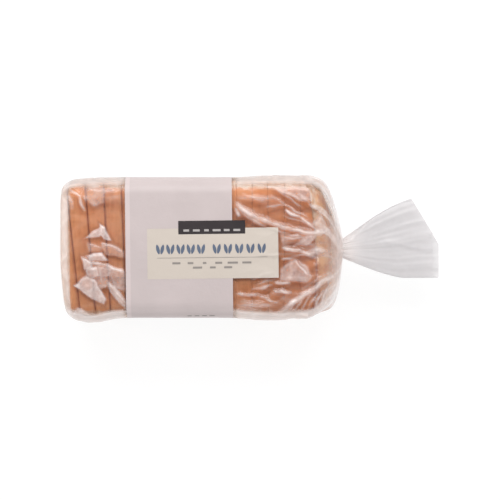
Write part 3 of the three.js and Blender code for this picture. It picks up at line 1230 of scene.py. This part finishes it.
        # Painted shade: dark mottles inside the milky creases.
        painted_mottle = smooth(noise_at(base * np.array([1.2, 0.9, 1.0]), 5.2, 7.3), 0.0, 0.5)
        painted_mottle = self.painted_mottle_shade * painted_mottle * smooth(milk, 0.14, 0.3)
        shade = np.maximum(shade * (1 - smooth(milk, 0.05, 0.3)), painted_mottle)
        return milk * (0.7 + 0.8 * patchy), shade

    def rim_haze_and_reflection(self, x: np.ndarray, out_y: np.ndarray, out_z: np.ndarray) -> np.ndarray:
        """Milkiness of the rounded edges, the sealed end, the shoulder and the sides: film haze
        with a painted reflection of the bright surroundings, whiter on the front rim than on the
        back.

        Args:
            x: Places along the loaf.
            out_y: How far the film there faces back.
            out_z: How far the film there faces up.

        Returns:
            The milkiness.
        """
        rim = smooth(out_z, -0.3, 0.4) * (1 - smooth(out_z, 0.76, 0.94))
        # Painted light: the front rim is whiter than the back one.
        rim = rim * np.where(out_y < 0, self.front_rim, self.back_rim)
        rim = rim * smooth(x, -124.0, -116.0)
        rim = rim + self.sealed_rim * (1 - smooth(x, -117.0, -113.0)) * (1 - rim)
        over_end = smooth(x, 100.0, 107.0) * (1 - smooth(x, 118.0, 128.0))
        rim = rim + self.shoulder_rim * over_end * (1 - rim)
        return rim + self.side_haze * (1 - smooth(out_z, 0.0, 0.9))

    def shoulder_rays(self, t: np.ndarray, x: np.ndarray) -> tuple[np.ndarray, np.ndarray]:
        """Milky rays, partly painted highlights, and clear valleys tinted with painted shade, in
        the film that draws in to the neck.

        Args:
            t: Shares of the way round.
            x: Places along the loaf.

        Returns:
            The milkiness and the painted shade.
        """
        form = self.form
        turn = 2 * math.pi * t + 0 * x
        place = np.stack([0.07 * x + 0 * t, 20 * np.cos(turn), 20 * np.sin(turn)], axis=-1)
        rays = noise_at(place, 3.2, 6.6) + 0.5 * noise_at(place, 1.4, 3.9)
        at_neck = smooth(x, form.shoulder, form.neck)
        start = form.shoulder - 4 + 14 * smooth(-np.cos(turn), 0.3, 0.6)
        reached = smooth(x - start, 0.0, 14.0)
        # Milky rays that are partly painted highlights, and painted shade in the valleys between
        # them.
        ray = smooth(rays, 0.02, 0.36) * reached * (1 - at_neck**3)
        valley = smooth(-rays, 0.05, 0.4) * reached * (1 - at_neck**2)
        milk = 0.04 * at_neck + 0.7 * at_neck**4 + self.ray_milk * ray
        return milk, self.valley_shade * valley

    def pleats(self, across: np.ndarray, f: np.ndarray) -> np.ndarray:
        """Shared waves of the tail's two layers.

        Args:
            across: Place across the tail, from -1 at the front edge to 1 at the back.
            f: Share of the way from the neck to the mouth.

        Returns:
            Heights in millimetres.
        """
        total = 0.0
        for count, phase, drift, size in self.tail.waves:
            turn = math.pi * count * across + phase + drift * f
            total = total + size * np.sin(turn)
        return total * blend(self.tail.wave_at_neck, self.tail.wave_at_mouth, f**0.8)

    def tail_sheet(self, t: np.ndarray, f: np.ndarray) -> tuple[np.ndarray, np.ndarray]:
        """The tail's two layers, from the neck to the slanting mouth.

        Args:
            t: Shares of the way round, in one row.
            f: Shares of the way along, in one column.

        Returns:
            Points, and their milkiness.
        """
        form, tail = self.form, self.tail

        def flared(g: np.ndarray) -> np.ndarray:
            """Fast at first, then evenly, from 0 to 1."""
            return (g + np.sin(0.5 * math.pi * g)) / 2

        back = blend(form.neck_radius, tail.back_edge, flared(f))
        front = blend(-form.neck_radius, tail.front_edge,
                      flared(np.minimum(1.0, f / tail.front_flare)))
        half_y, middle_y = (back - front) / 2, (back + front) / 2
        thin = blend(form.neck_radius, tail.half_thickness, smooth(f, 0.0, 0.45))
        half_z = thin + tail.mouth_gap * smooth(f, 0.6, 1.0)
        y, z, out_y, out_z = outline(t, half_y, half_z, half_z)
        across = np.clip(y / half_y, -1, 1)
        slant = np.maximum(0, (across - tail.cut_start) / (1 - tail.cut_start))
        reach = tail.reach - tail.back_cut * slant
        upper = (out_z > 0.02) * smooth(-across, -0.12, 0.0) * smooth(across, -1.0, -0.93)
        x = form.neck + f * (reach - tail.lip * upper)
        middle_z = form.neck_height - tail.droop * f**1.5
        pinch = tail.pinch * self.gather_wave(t) * (1 - smooth(f, 0.0, 0.2))
        wave = self.pleats(across, f) * smooth(f, 0.0, 0.3)
        y = middle_y + y + pinch * out_y
        plain = np.stack([x, y, 0 * x], axis=-1)
        apart = 0.25 * noise_at(plain * np.array([0.3, 1.0, 1.0]), 7.0, 2.2) * np.sign(out_z)
        lift = (tail.valley.parts(x, y)[0] + tail.crest.parts(x, y)[0]) * (out_z > 0)
        z = middle_z + z + pinch * out_z + wave + apart * smooth(f, 0.1, 0.5) + lift
        haze = tail.milk + 0.05 * noise_at(plain * np.array([0.5, 1.0, 1.0]), 10.0, 6.1)
        haze = haze + 0.03 * noise_at(plain, 4.0, 7.7)
        milk = blend(tail.neck_milk, haze, smooth(f, 0.05, 0.3)) + 0 * x
        return np.stack([x, y, z], axis=-1), milk

    def build(self, material: bpy.types.Material) -> bpy.types.Object:
        """Build the film.

        Args:
            material: The film's material.

        Returns:
            The finished piece.
        """
        t = self.shares_round()[None, :]
        ends, end_milk = self.end_face(t[0])
        row_x = self.body_places()[:, None]
        body, body_milk, body_shade = self.body(t, row_x)
        f = (np.linspace(0.0, 1.0, self.tail_rows) ** 1.1)[:, None]
        tail, tail_milk = self.tail_sheet(t, f)
        points = self.closer_corner(np.concatenate([ends, body, tail])).reshape(-1, 3) * MM
        milk = np.concatenate([end_milk, body_milk, tail_milk]).ravel()
        shade = np.concatenate([0 * end_milk, body_shade, 0 * tail_milk]).ravel()

        sheet = bmesh.new()
        rows = self.end_rows + len(row_x) + self.tail_rows
        bmesh.ops.create_grid(sheet, x_segments=self.around, y_segments=rows - 1, size=1.0)
        milk_layer = sheet.verts.layers.float.new("milk")
        shade_layer = sheet.verts.layers.float.new("shade")
        sheet.verts.ensure_lookup_table()
        for vertex, point, haze, dark in zip(sheet.verts, points, milk, shade):
            vertex.co = point
            vertex[milk_layer] = haze
            vertex[shade_layer] = dark
        bmesh.ops.remove_doubles(sheet, verts=sheet.verts[:], dist=1e-6)
        self.face_outwards(sheet)
        for face in sheet.faces:
            face.smooth = True
        return finished(sheet, "film_bag", [material])

    def closer_corner(self, points: np.ndarray) -> np.ndarray:
        """Draw the sealed end's front corner in, where the film lies closer to the bread.

        Args:
            points: The sheet's points in millimetres.

        Returns:
            The points with that corner moved along the loaf.
        """
        near_end = 1 - smooth(points[..., 0], self.form.sealed_end - 3.0, -100.0)
        drawn = self.corner_draw * near_end * smooth(-points[..., 1], 8.0, 58.0)
        return points + drawn[..., None] * np.array([1.0, 0.0, 0.0])

    def body_places(self) -> np.ndarray:
        """Places along X for the rows round the bread, closer where the film is loose."""
        form = self.form
        steps = np.linspace(0, 1, self.round_rows) ** 1.6
        places = [form.sealed_end + form.sealed_round * steps]
        for end, count in self.stretches:
            places.append(np.linspace(places[-1][-1], end, count + 1)[1:])
        drawn = np.sin(0.5 * math.pi * np.linspace(0, 1, self.shoulder_rows + 1)[1:])
        places.append(form.shoulder + (form.neck - 0.2 - form.shoulder) * drawn)
        return np.concatenate(places)

    @staticmethod
    def face_outwards(sheet: bmesh.types.BMesh) -> None:
        """Turn every face out, by the highest face, which has to look up.

        Args:
            sheet: The film's bmesh.
        """
        sheet.normal_update()
        highest = max(sheet.faces, key=lambda face: face.calc_center_median().z)
        if highest.normal.z < 0:
            bmesh.ops.reverse_faces(sheet, faces=sheet.faces[:])


@dataclass(frozen=True)
class Cut:
    """One cut through the loaf: its place, its turn in plan, and how far it stands open."""

    x: float
    yaw: float = 0.0
    gap: float = 0.08
    rounding: float = 0.9
    bend: float = 0.0


class Heel(Enum):
    """Which end of the loaf a slice is, by the way that its outer face looks along X."""

    LEFT = -1
    NONE = 0
    RIGHT = 1


@dataclass(frozen=True)
class Spot:
    """One slice's place in the loaf: its two cuts, and its own unevenness from -1 to 1."""

    number: int
    low: Cut
    high: Cut
    heel: Heel
    wobble: float


@dataclass
class Loaf:
    """The sliced loaf: slices side by side, with a rounded heel at each end.

    Each ring of a slice holds its share of the way from the left cut to the right one, and
    how far the sides and the top draw in there.
    """

    form: BagForm = field(default_factory=BagForm)
    middle_y: float = 0.9
    half_width: float = 59.5
    base: float = 0.8
    top: float = 111.4
    corner: float = 13.0
    closed_gap: float = 0.04
    closed_rounding: float = 0.08
    closed_sway: float = 0.5
    left: float = -119.0
    right: float = 118.0
    first_joints: tuple[float, ...] = (-112.4, -97.1, -82.3, -67.4)
    first_yaws: tuple[float, ...] = (6.6, 4.6, 3.2, 2.4)
    pitches: int = 12
    last_joint: float = 102.4
    last_yaw: float = 2.8
    lean: float = 1.0
    last_bend: float = 0.00176
    points: int = 96
    crust_depth: float = 1.6
    # Reach and strength of the painted shade beside the cuts.
    joint_shade_reach: float = 3.2
    closed_joint_shade: float = 0.35
    flat_share: float = 0.9
    dome: float = 1.3
    bulge: float = 0.5
    settle: float = 1.0
    thinnest: float = 0.4
    unevenness: Point = (0.5, 0.4)
    roughness: Point = (0.35, 0.15)
    rough_sizes: Point = (9.0, 3.0)
    back_draw: float = 3.2
    back_reach: float = 20.0
    left_rings: tuple[Ring, ...] = (
        (0.0, 7.0, 5.6), (0.12, 4.8, 3.5), (0.35, 2.8, 1.7), (0.65, 1.6, 0.6), (0.93, 0.8, 0.2),
        (1.0, 1.0, 0.6),
    )
    right_rings: tuple[Ring, ...] = (
        (0.0, 1.0, 1.8), (0.04, 1.0, 2.0), (0.2, 3.0, 4.4), (0.4, 6.2, 7.4), (0.58, 9.6, 11.2),
        (0.74, 14.4, 16.4), (0.87, 19.5, 22.5), (0.95, 24.0, 27.5), (1.0, 29.0, 34.0),
    )

    def cuts(self) -> list[Cut]:
        """Every cut, with the loaf's two ends as the first and the last."""
        cuts = [Cut(x, yaw) for x, yaw in zip(self.first_joints, self.first_yaws)]
        start = self.first_joints[-1]
        pitch = (self.last_joint - start) / self.pitches
        for number in range(1, self.pitches):
            yaw = self.closed_sway * math.cos(2.1 * number)
            cuts.append(Cut(start + pitch * number, yaw, self.closed_gap, self.closed_rounding))
        cuts.append(Cut(self.last_joint, self.last_yaw, bend=self.last_bend))
        return [Cut(self.left, rounding=0.0), *cuts, Cut(self.right, rounding=0.0)]

    def cut_at(self, cut: Cut, y: float, z: float) -> float:
        """Where one cut lies along the loaf.

        Args:
            cut: The cut.
            y: Place across the loaf.
            z: Height.

        Returns:
            X in millimetres.
        """
        lean = math.radians(self.lean)
        middle = (self.top + self.base) / 2
        turned = cut.x - y * math.tan(math.radians(cut.yaw)) - cut.bend * y * y
        return turned + (z - middle) * math.tan(lean)

    def build(
        self, crust: bpy.types.Material, crumb: bpy.types.Material
    ) -> list[bpy.types.Object]:
        """Build every slice.

        Args:
            crust: Material of the crust.
            crumb: Material of the cut faces.

        Returns:
            The finished slices, from left to right.
        """
        cuts = self.cuts()
        heels = [Heel.LEFT, *[Heel.NONE] * (len(cuts) - 3), Heel.RIGHT]
        pieces = []
        for number, (low, high, heel) in enumerate(zip(cuts, cuts[1:], heels), start=1):
            wobble = noise.noise(Vector((number * 3.7, 1.3, 0.0)))
            pieces.append(self.slice(Spot(number, low, high, heel, wobble), [crust, crumb]))
        return pieces

    def rings(self, spot: Spot) -> tuple[Ring, ...]:
        """The rings of one slice.

        Args:
            spot: Its place in the loaf.

        Returns:
            Its rings, from left to right.
        """
        if spot.heel is Heel.LEFT:
            return self.left_rings
        if spot.heel is Heel.RIGHT:
            return self.right_rings
        low, high = spot.low.rounding, spot.high.rounding
        return ((0.0, low, low), (0.07, 0.2 * low, 0.1), (0.22, 0.0, 0.0), (0.5, -0.1, -0.1),
                (0.78, 0.0, 0.0), (0.93, 0.2 * high, 0.1), (1.0, high, high))

    def slice(self, spot: Spot, materials: list[bpy.types.Material]) -> bpy.types.Object:
        """Build one slice.

        Args:
            spot: Its place in the loaf.
            materials: Crust and crumb.

        Returns:
            The finished slice.
        """
        rings = self.rings(spot)
        block = bmesh.new()
        joint_layer = block.verts.layers.float.new("joint")
        bmesh.ops.create_circle(block, cap_ends=True, segments=self.points, radius=1.0)
        cap = block.faces[:]
        rows = [block.verts[:]]
        for _ in rings[1:]:
            made = bmesh.ops.extrude_face_region(block, geom=cap)["geom"]
            cap = [item for item in made if isinstance(item, bmesh.types.BMFace)]
            rows.append([item for item in made if isinstance(item, bmesh.types.BMVert)])
        self.drop_inner_faces(block, rows)
        for row, ring in zip(rows, rings):
            # The joint attribute carries painted shade towards the cuts.
            joint = self.painted_joint_shade(spot, ring[0])
            for vertex in row:
                vertex[joint_layer] = joint
                turn = math.atan2(vertex.co.y, vertex.co.x) / (2 * math.pi)
                vertex.co = self.place(spot, turn % 1.0, ring)
        bmesh.ops.recalc_face_normals(block, faces=block.faces[:])
        self.dress(block, spot.heel)
        return finished(block, f"slice_{spot.number:02d}", materials)

    def painted_joint_shade(self, spot: Spot, share: float) -> float:
        """How much painted shade darkens the crust towards the open cuts of its slice.

        Args:
            spot: The slice's place in the loaf.
            share: Share of the way from its left cut to its right one.

        Returns:
            Share of the painted joint shade, from 0 to 1.
        """
        width = spot.high.x - spot.low.x
        dark = 0.0
        for cut, distance in ((spot.low, share * width), (spot.high, (1 - share) * width)):
            depth = 1.0 if cut.rounding > self.closed_rounding else self.closed_joint_shade
            depth = depth if cut.rounding > 0 else 0.0
            dark = max(dark, depth - distance / self.joint_shade_reach)
        return dark

    @staticmethod
    def drop_inner_faces(block: bmesh.types.BMesh, rows: list[list[bmesh.types.BMVert]]) -> None:
        """Delete the caps that extruding left between the rings.

        Args:
            block: The slice's bmesh.
            rows: Its points, ring by ring.
        """
        ends = [set(rows[0]), set(rows[-1])]
        inner = [face for face in block.faces
                 if len(face.verts) > 4 and set(face.verts) not in ends]
        bmesh.ops.delete(block, geom=inner, context="FACES_ONLY")

    def place(self, spot: Spot, turn: float, ring: Ring) -> Vector:
        """One point of a slice's surface.

        Args:
            spot: The slice's place in the loaf.
            turn: Share of the way round.
            ring: The slice's ring.

        Returns:
            The point in metres.
        """
        share, side_draw, top_draw = ring
        half_z = (self.top - self.base) / 2
        y, z, out_y, out_z = (float(value) for value in outline(
            np.array(turn), np.array(self.half_width - side_draw),
            np.array(half_z - (top_draw + 0.4 * side_draw) / 2),
            np.array(self.corner + 1.2 * side_draw)))
        upward = max(0.0, out_z)
        z = z + half_z + self.base - top_draw / 2 + 0.1 * side_draw
        dome = self.dome * upward * (1 - (y / self.half_width) ** 2)
        bulge = self.bulge * (1 - abs(2 * z / (self.top + self.base) - 1) ** 2)
        y = y + self.middle_y + self.unevenness[0] * spot.wobble + bulge * out_y
        if y > 0:
            from_end = (spot.low.x - self.form.sealed_end) / self.back_reach
            y = y - self.back_draw * math.exp(-(from_end**2))
        z = z - self.settle + dome + self.unevenness[1] * spot.wobble * upward
        x = self.along(spot, share, y, z)
        if spot.heel is Heel.NONE:
            inward = self.end_draw(x)
            y, z = y - inward * out_y, z - inward * upward
        rough = sum(depth * noise.noise(Vector((x, y, z)) / size)
                    for depth, size in zip(self.roughness, self.rough_sizes))
        return Vector((x, y + rough * out_y, max(self.base * 0.5, z + rough * out_z))) * MM

    def along(self, spot: Spot, share: float, y: float, z: float) -> float:
        """Place along the loaf of one point of a slice.

        Args:
            spot: The slice's place in the loaf.
            share: Share of the way from its left cut to its right one.
            y: Place across the loaf.
            z: Height.

        Returns:
            X in millimetres.
        """
        left = self.cut_at(spot.low, y, z) + spot.low.gap / 2
        right = self.cut_at(spot.high, y, z) - spot.high.gap / 2
        if spot.heel is Heel.LEFT:
            left = spot.low.x
            right = max(right, left + self.thinnest)
        if spot.heel is Heel.RIGHT:
            right = spot.high.x
        return left + (right - left) * share

    def end_draw(self, x: float) -> float:
        """How far the slices draw in at the sealed end, as the film round them does.

        Args:
            x: Place along the loaf.

        Returns:
            Distance in millimetres.
        """
        form = self.form
        end = (form.sealed_end + form.sealed_round - x) / form.sealed_round
        end = min(1.0, max(0.0, end))
        return form.sealed_draw * (1 - math.sqrt(1 - end**2))

    def dress(self, block: bmesh.types.BMesh, heel: Heel) -> None:
        """Give the cut faces their crumb, inside a rim of crust.

        Args:
            block: The slice's bmesh.
            heel: Which heel it is: a heel's outer face is crust.
        """
        for face in [face for face in block.faces if len(face.verts) > 4]:
            outer = face.normal.x * heel.value > 0
            bmesh.ops.inset_region(block, faces=[face], thickness=self.crust_depth * MM)
            face.material_index = 0 if outer else 1
        for face in block.faces:
            rounded = len(face.verts) == 4 and abs(face.normal.x) < self.flat_share
            face.smooth = rounded or heel is not Heel.NONE


@dataclass(frozen=True)
class DashRow:
    """A row of plain dashes that stands for a line of words, in millimetres."""

    start: float
    pitch: float
    y: float
    height: float
    widths: tuple[float, ...]


@dataclass
class PackPrint:
    """What is printed on the film: a band round it, a label, and plain shapes on that."""

    film: bpy.types.Object
    band: Point
    edge: Point = (0.3, 4.2)
    label: Box = (-45.5, 69.9, -26.4, 18.0)
    bar: Box = (-18.0, 40.9, 12.8, 24.6)
    top_side: float = 60.0
    turn: float = 0.7
    centre: Point = (12.0, 0.0)
    band_lift: float = 0.12
    edge_lift: float = 0.17
    label_lift: float = 0.22
    bar_lift: float = 0.3
    shape_lift: float = 0.4
    mark_lift: float = 0.5
    grain_groups: tuple[Point, ...] = ((-34.2, 9.0), (15.6, 9.9))
    grain_pairs: int = 5
    grain_aside: float = 1.9
    grain_y: float = -0.3
    grain_lean: float = 13.0
    grain_length: float = 8.8
    grain_width: float = 0.17
    words: tuple[DashRow, ...] = (
        DashRow(-32.9, 8.1, -7.9, 0.35, (8.1,) * 12),
        DashRow(-20.0, 12.4, -12.6, 1.7, (7.0, 5.0, 3.0, 6.0, 9.0, 8.0)),
        DashRow(-1.5, 13.5, -16.6, 1.7, (8.0, 5.0, 7.0)),
        DashRow(-9.2, 6.6, -59.3, 0.8, (3.6, 3.9, 4.2, 4.6)),
    )
    bar_words: DashRow = DashRow(-11.0, 8.9, 16.1, 1.9, (5.0, 6.0, 4.0, 7.0, 5.0, 6.0))

    def turned(self) -> Matrix:
        """The print's slight turn in plan, about the middle of the label."""
        middle = Matrix.Translation(Vector((*self.centre, 0)) * MM)
        turn = Matrix.Rotation(math.radians(self.turn), 4, "Z")
        return middle @ turn @ middle.inverted()

    def cut_out(self, cuts: list[tuple[Vector, Vector]], lift: float) -> bmesh.types.BMesh:
        """Copy the film within some planes and lift it off the film.

        Args:
            cuts: Point and direction of each plane, whose far side goes.
            lift: How far the ink lies above the film, in millimetres.

        Returns:
            The copy.
        """
        copy = bmesh.new()
        copy.from_mesh(self.film.data)
        turned = self.turned()
        for point, direction in cuts:
            geom = copy.verts[:] + copy.edges[:] + copy.faces[:]
            bmesh.ops.bisect_plane(copy, geom=geom, plane_co=turned @ (point * MM),
                                   plane_no=turned.to_3x3() @ direction, dist=1e-7,
                                   clear_outer=True)
        copy.normal_update()
        shifts = [(vertex, vertex.co + vertex.normal * lift * MM) for vertex in copy.verts]
        for vertex, place in shifts:
            vertex.co = place
        return copy

    def field(self, box: Box, lift: float) -> bmesh.types.BMesh:
        """A rectangle of ink on the crown.

        Args:
            box: Lowest and highest x, and lowest and highest y.
            lift: How far the ink lies above the film, in millimetres.

        Returns:
            The ink's bmesh.
        """
        left, right, front, back = box
        return self.cut_out([
            self.plane(0, left, -1), self.plane(0, right, 1), self.plane(2, self.top_side, -1),
            self.plane(1, front, -1), self.plane(1, back, 1),
        ], lift)

    def hoop(self, start: float, end: float, lift: float) -> bmesh.types.BMesh:
        """A ring of ink all round the pack.

        Args:
            start: Its left edge in X.
            end: Its right edge.
            lift: How far the ink lies above the film, in millimetres.

        Returns:
            The ink's bmesh.
        """
        return self.cut_out([self.plane(0, start, -1), self.plane(0, end, 1)], lift)

    @staticmethod
    def plane(axis: int, place: float, direction: float) -> tuple[Vector, Vector]:
        """A plane square to one axis.

        Args:
            axis: 0, 1 or 2 for X, Y or Z.
            place: Where it cuts the axis, in millimetres.
            direction: 1 if the film beyond it goes, and -1 if the film before it does.

        Returns:
            A point on it, and the direction in which the film goes.
        """
        point, normal = Vector((0, 0, 0)), Vector((0, 0, 0))
        point[axis] = place
        normal[axis] = direction
        return point, normal

    def laid_on(self, shapes: bmesh.types.BMesh, lift: float) -> bmesh.types.BMesh:
        """Lay flat shapes down on the film, seen from above.

        Args:
            shapes: Flat shapes in plan, in metres.
            lift: How far the ink lies above the film, in millimetres.

        Returns:
            The same bmesh.
        """
        source = bmesh.new()
        source.from_mesh(self.film.data)
        tree = BVHTree.FromBMesh(source)
        bmesh.ops.transform(shapes, matrix=self.turned(), verts=shapes.verts[:])
        for vertex in shapes.verts:
            start = Vector((vertex.co.x, vertex.co.y, 1.0))
            hit = tree.ray_cast(start, Vector((0, 0, -1)))[0]
            vertex.co.z = hit.z + lift * MM
        source.free()
        return shapes

    def dashes(self, rows: tuple[DashRow, ...], lift: float) -> bmesh.types.BMesh:
        """Rows of flat dashes on the film.

        Args:
            rows: The rows.
            lift: How far the ink lies above the film, in millimetres.

        Returns:
            The ink's bmesh.
        """
        shapes = bmesh.new()
        for row in rows:
            for number, width in enumerate(row.widths):
                middle = Vector((row.start + row.pitch * number, row.y, 0)) * MM
                size = Matrix.Diagonal((width * MM, row.height * MM, 1, 1))
                bmesh.ops.create_grid(shapes, x_segments=3, y_segments=1, size=0.5,
                                      matrix=Matrix.Translation(middle) @ size)
        return self.laid_on(shapes, lift)

    def grain(self, shapes: bmesh.types.BMesh, x: float, lean: float) -> None:
        """Add one pointed grain to some shapes.

        Args:
            shapes: The bmesh that it joins.
            x: Its middle along the loaf, in millimetres.
            lean: Its lean in degrees.
        """
        made = bmesh.ops.create_circle(shapes, cap_ends=True, segments=20, radius=1.0)["verts"]
        for vertex in made:
            angle = math.atan2(vertex.co.y, vertex.co.x)
            pointed = math.cos(angle) * (0.55 + 0.45 * abs(math.cos(angle)))
            vertex.co = Vector((self.grain_width * pointed, 0.5 * math.sin(angle), 0))
            vertex.co = vertex.co * self.grain_length * MM
        bmesh.ops.rotate(shapes, verts=made, matrix=Matrix.Rotation(math.radians(lean), 3, "Z"))
        bmesh.ops.translate(shapes, verts=made, vec=Vector((x, self.grain_y, 0)) * MM)

    def grains(self) -> bmesh.types.BMesh:
        """Two groups of leaning pairs of grains, on the film."""
        shapes = bmesh.new()
        for start, pitch in self.grain_groups:
            for number in range(self.grain_pairs):
                x = start + pitch * number
                self.grain(shapes, x - self.grain_aside, self.grain_lean)
                self.grain(shapes, x + self.grain_aside, -self.grain_lean)
        return self.laid_on(shapes, self.shape_lift)

    def build(self, finishes: Finishes) -> list[bpy.types.Object]:
        """Build the band, the label and what is on it.

        Args:
            finishes: The pack's materials.

        Returns:
            The finished pieces.
        """
        left, right = self.band
        edge_start, edge_end = self.edge
        inks = (
            ("print_band", self.hoop(left, right, self.band_lift), finishes.band, Slot.PRINT),
            ("print_band_edge", self.hoop(left + edge_start, left + edge_end, self.edge_lift),
             finishes.edge, Slot.PRINT),
            ("label_field", self.field(self.label, self.label_lift), finishes.label, Slot.LABEL),
            ("label_bar", self.field(self.bar, self.bar_lift), finishes.dark, Slot.LABEL_DARK),
            ("label_grains", self.grains(), finishes.blue, Slot.LABEL_BLUE),
            ("label_lines", self.dashes(self.words, self.shape_lift), finishes.line,
             Slot.LABEL_DARK),
            ("label_bar_marks", self.dashes((self.bar_words,), self.mark_lift), finishes.mark,
             Slot.LABEL),
        )
        return [finished(shape, name, [ink.make()]) for name, shape, ink, slot in inks]


# Studio


@dataclass(frozen=True)
class Softbox:
    """One soft studio light."""

    name: str
    place: tuple[float, float, float]
    target: tuple[float, float, float]
    size: Point
    power: float


@dataclass
class Studio:
    """Pale floor, soft lights and a camera straight above the pack."""

    centre: Point = (44.9, -1.3)
    distance: float = 1500.0
    picture_width: float = 440.0
    crown: float = BagForm.height
    sensor: float = 36.0
    floor_size: float = 3.0
    floor_drop: float = 0.0006
    floor_tone: float = 0.93
    floor_glow: float = 1.06
    glow_share: float = 0.8
    ambient: float = 0.5
    lights: tuple[Softbox, ...] = (
        Softbox("back_softbox", (0.02, 0.52, 0.72), (0.03, 0.0, 0.1), (0.9, 0.45), 5.6),
        Softbox("front_softbox", (0.05, -1.0, 0.4), (0.04, 0.0, 0.08), (0.9, 0.35), 3.0),
        Softbox("right_softbox", (1.1, 0.15, 0.5), (0.12, 0.0, 0.08), (0.3, 0.7), 2.5),
        Softbox("left_softbox", (-1.0, 0.1, 0.4), (-0.1, 0.0, 0.08), (0.35, 0.8), 3.1),
    )

    def floor(self) -> bpy.types.Object:
        """Build the pale floor, just under the pack.

        Returns:
            The floor.
        """
        sheet = bmesh.new()
        bmesh.ops.create_grid(sheet, x_segments=2, y_segments=2, size=self.floor_size,
                              matrix=Matrix.Translation((0, 0, -self.floor_drop)))
        nodes = Nodes("pale_floor")
        matt = nodes.add("BsdfDiffuse", {"Color": (*[self.floor_tone] * 3, 1.0)}).outputs[0]
        white = {"Color": WHITE, "Strength": self.floor_glow}
        glow = nodes.add("Emission", white).outputs[0]
        mesh = bpy.data.meshes.new("floor")
        sheet.to_mesh(mesh)
        sheet.free()
        mesh.materials.append(nodes.finish(nodes.mix_shaders(self.glow_share, matt, glow)))
        floor = bpy.data.objects.new("floor", mesh)
        bpy.context.scene.collection.objects.link(floor)
        return floor

    def light(self, box: Softbox) -> bpy.types.Object:
        """Build one softbox.

        Args:
            box: Its sizes.

        Returns:
            The light.
        """
        data = bpy.data.lights.new(box.name, "AREA")
        data.shape = "RECTANGLE"
        data.size, data.size_y = box.size
        data.energy = box.power
        lamp = bpy.data.objects.new(box.name, data)
        lamp.location = box.place
        lamp.visible_camera = False
        aim = Vector(box.target) - Vector(box.place)
        lamp.rotation_euler = aim.to_track_quat("-Z", "Y").to_euler()
        bpy.context.scene.collection.objects.link(lamp)
        return lamp

    def camera(self) -> bpy.types.Object:
        """Build the camera, which looks straight down on the pack.

        Returns:
            The camera.
        """
        data = bpy.data.cameras.new("camera")
        data.sensor_width = self.sensor
        data.lens = self.sensor * self.distance / self.picture_width
        camera = bpy.data.objects.new("camera", data)
        camera.location = Vector((*self.centre, self.crown + self.distance)) * MM
        bpy.context.scene.collection.objects.link(camera)
        bpy.context.scene.camera = camera
        return camera

    def build(self) -> None:
        """Build the whole studio."""
        scene = bpy.context.scene
        world = bpy.data.worlds.new("studio")
        world.use_nodes = True
        background = world.node_tree.nodes["Background"]
        background.inputs["Color"].default_value = WHITE
        background.inputs["Strength"].default_value = self.ambient
        scene.world = world
        scene.view_settings.view_transform = "Standard"
        self.floor()
        self.camera()
        for box in self.lights:
            self.light(box)


def main() -> None:
    """Build the pack and the studio, and note the sizes."""
    logging.basicConfig(level=logging.INFO, format="%(message)s")
    finishes = Finishes()
    Studio().build()
    film = Film()
    bag = film.build(finishes.film.make())
    Loaf(film.form).build(finishes.crust.make(), finishes.crumb.make())
    PackPrint(bag, film.band).build(finishes)


if __name__ == "__main__":
    main()
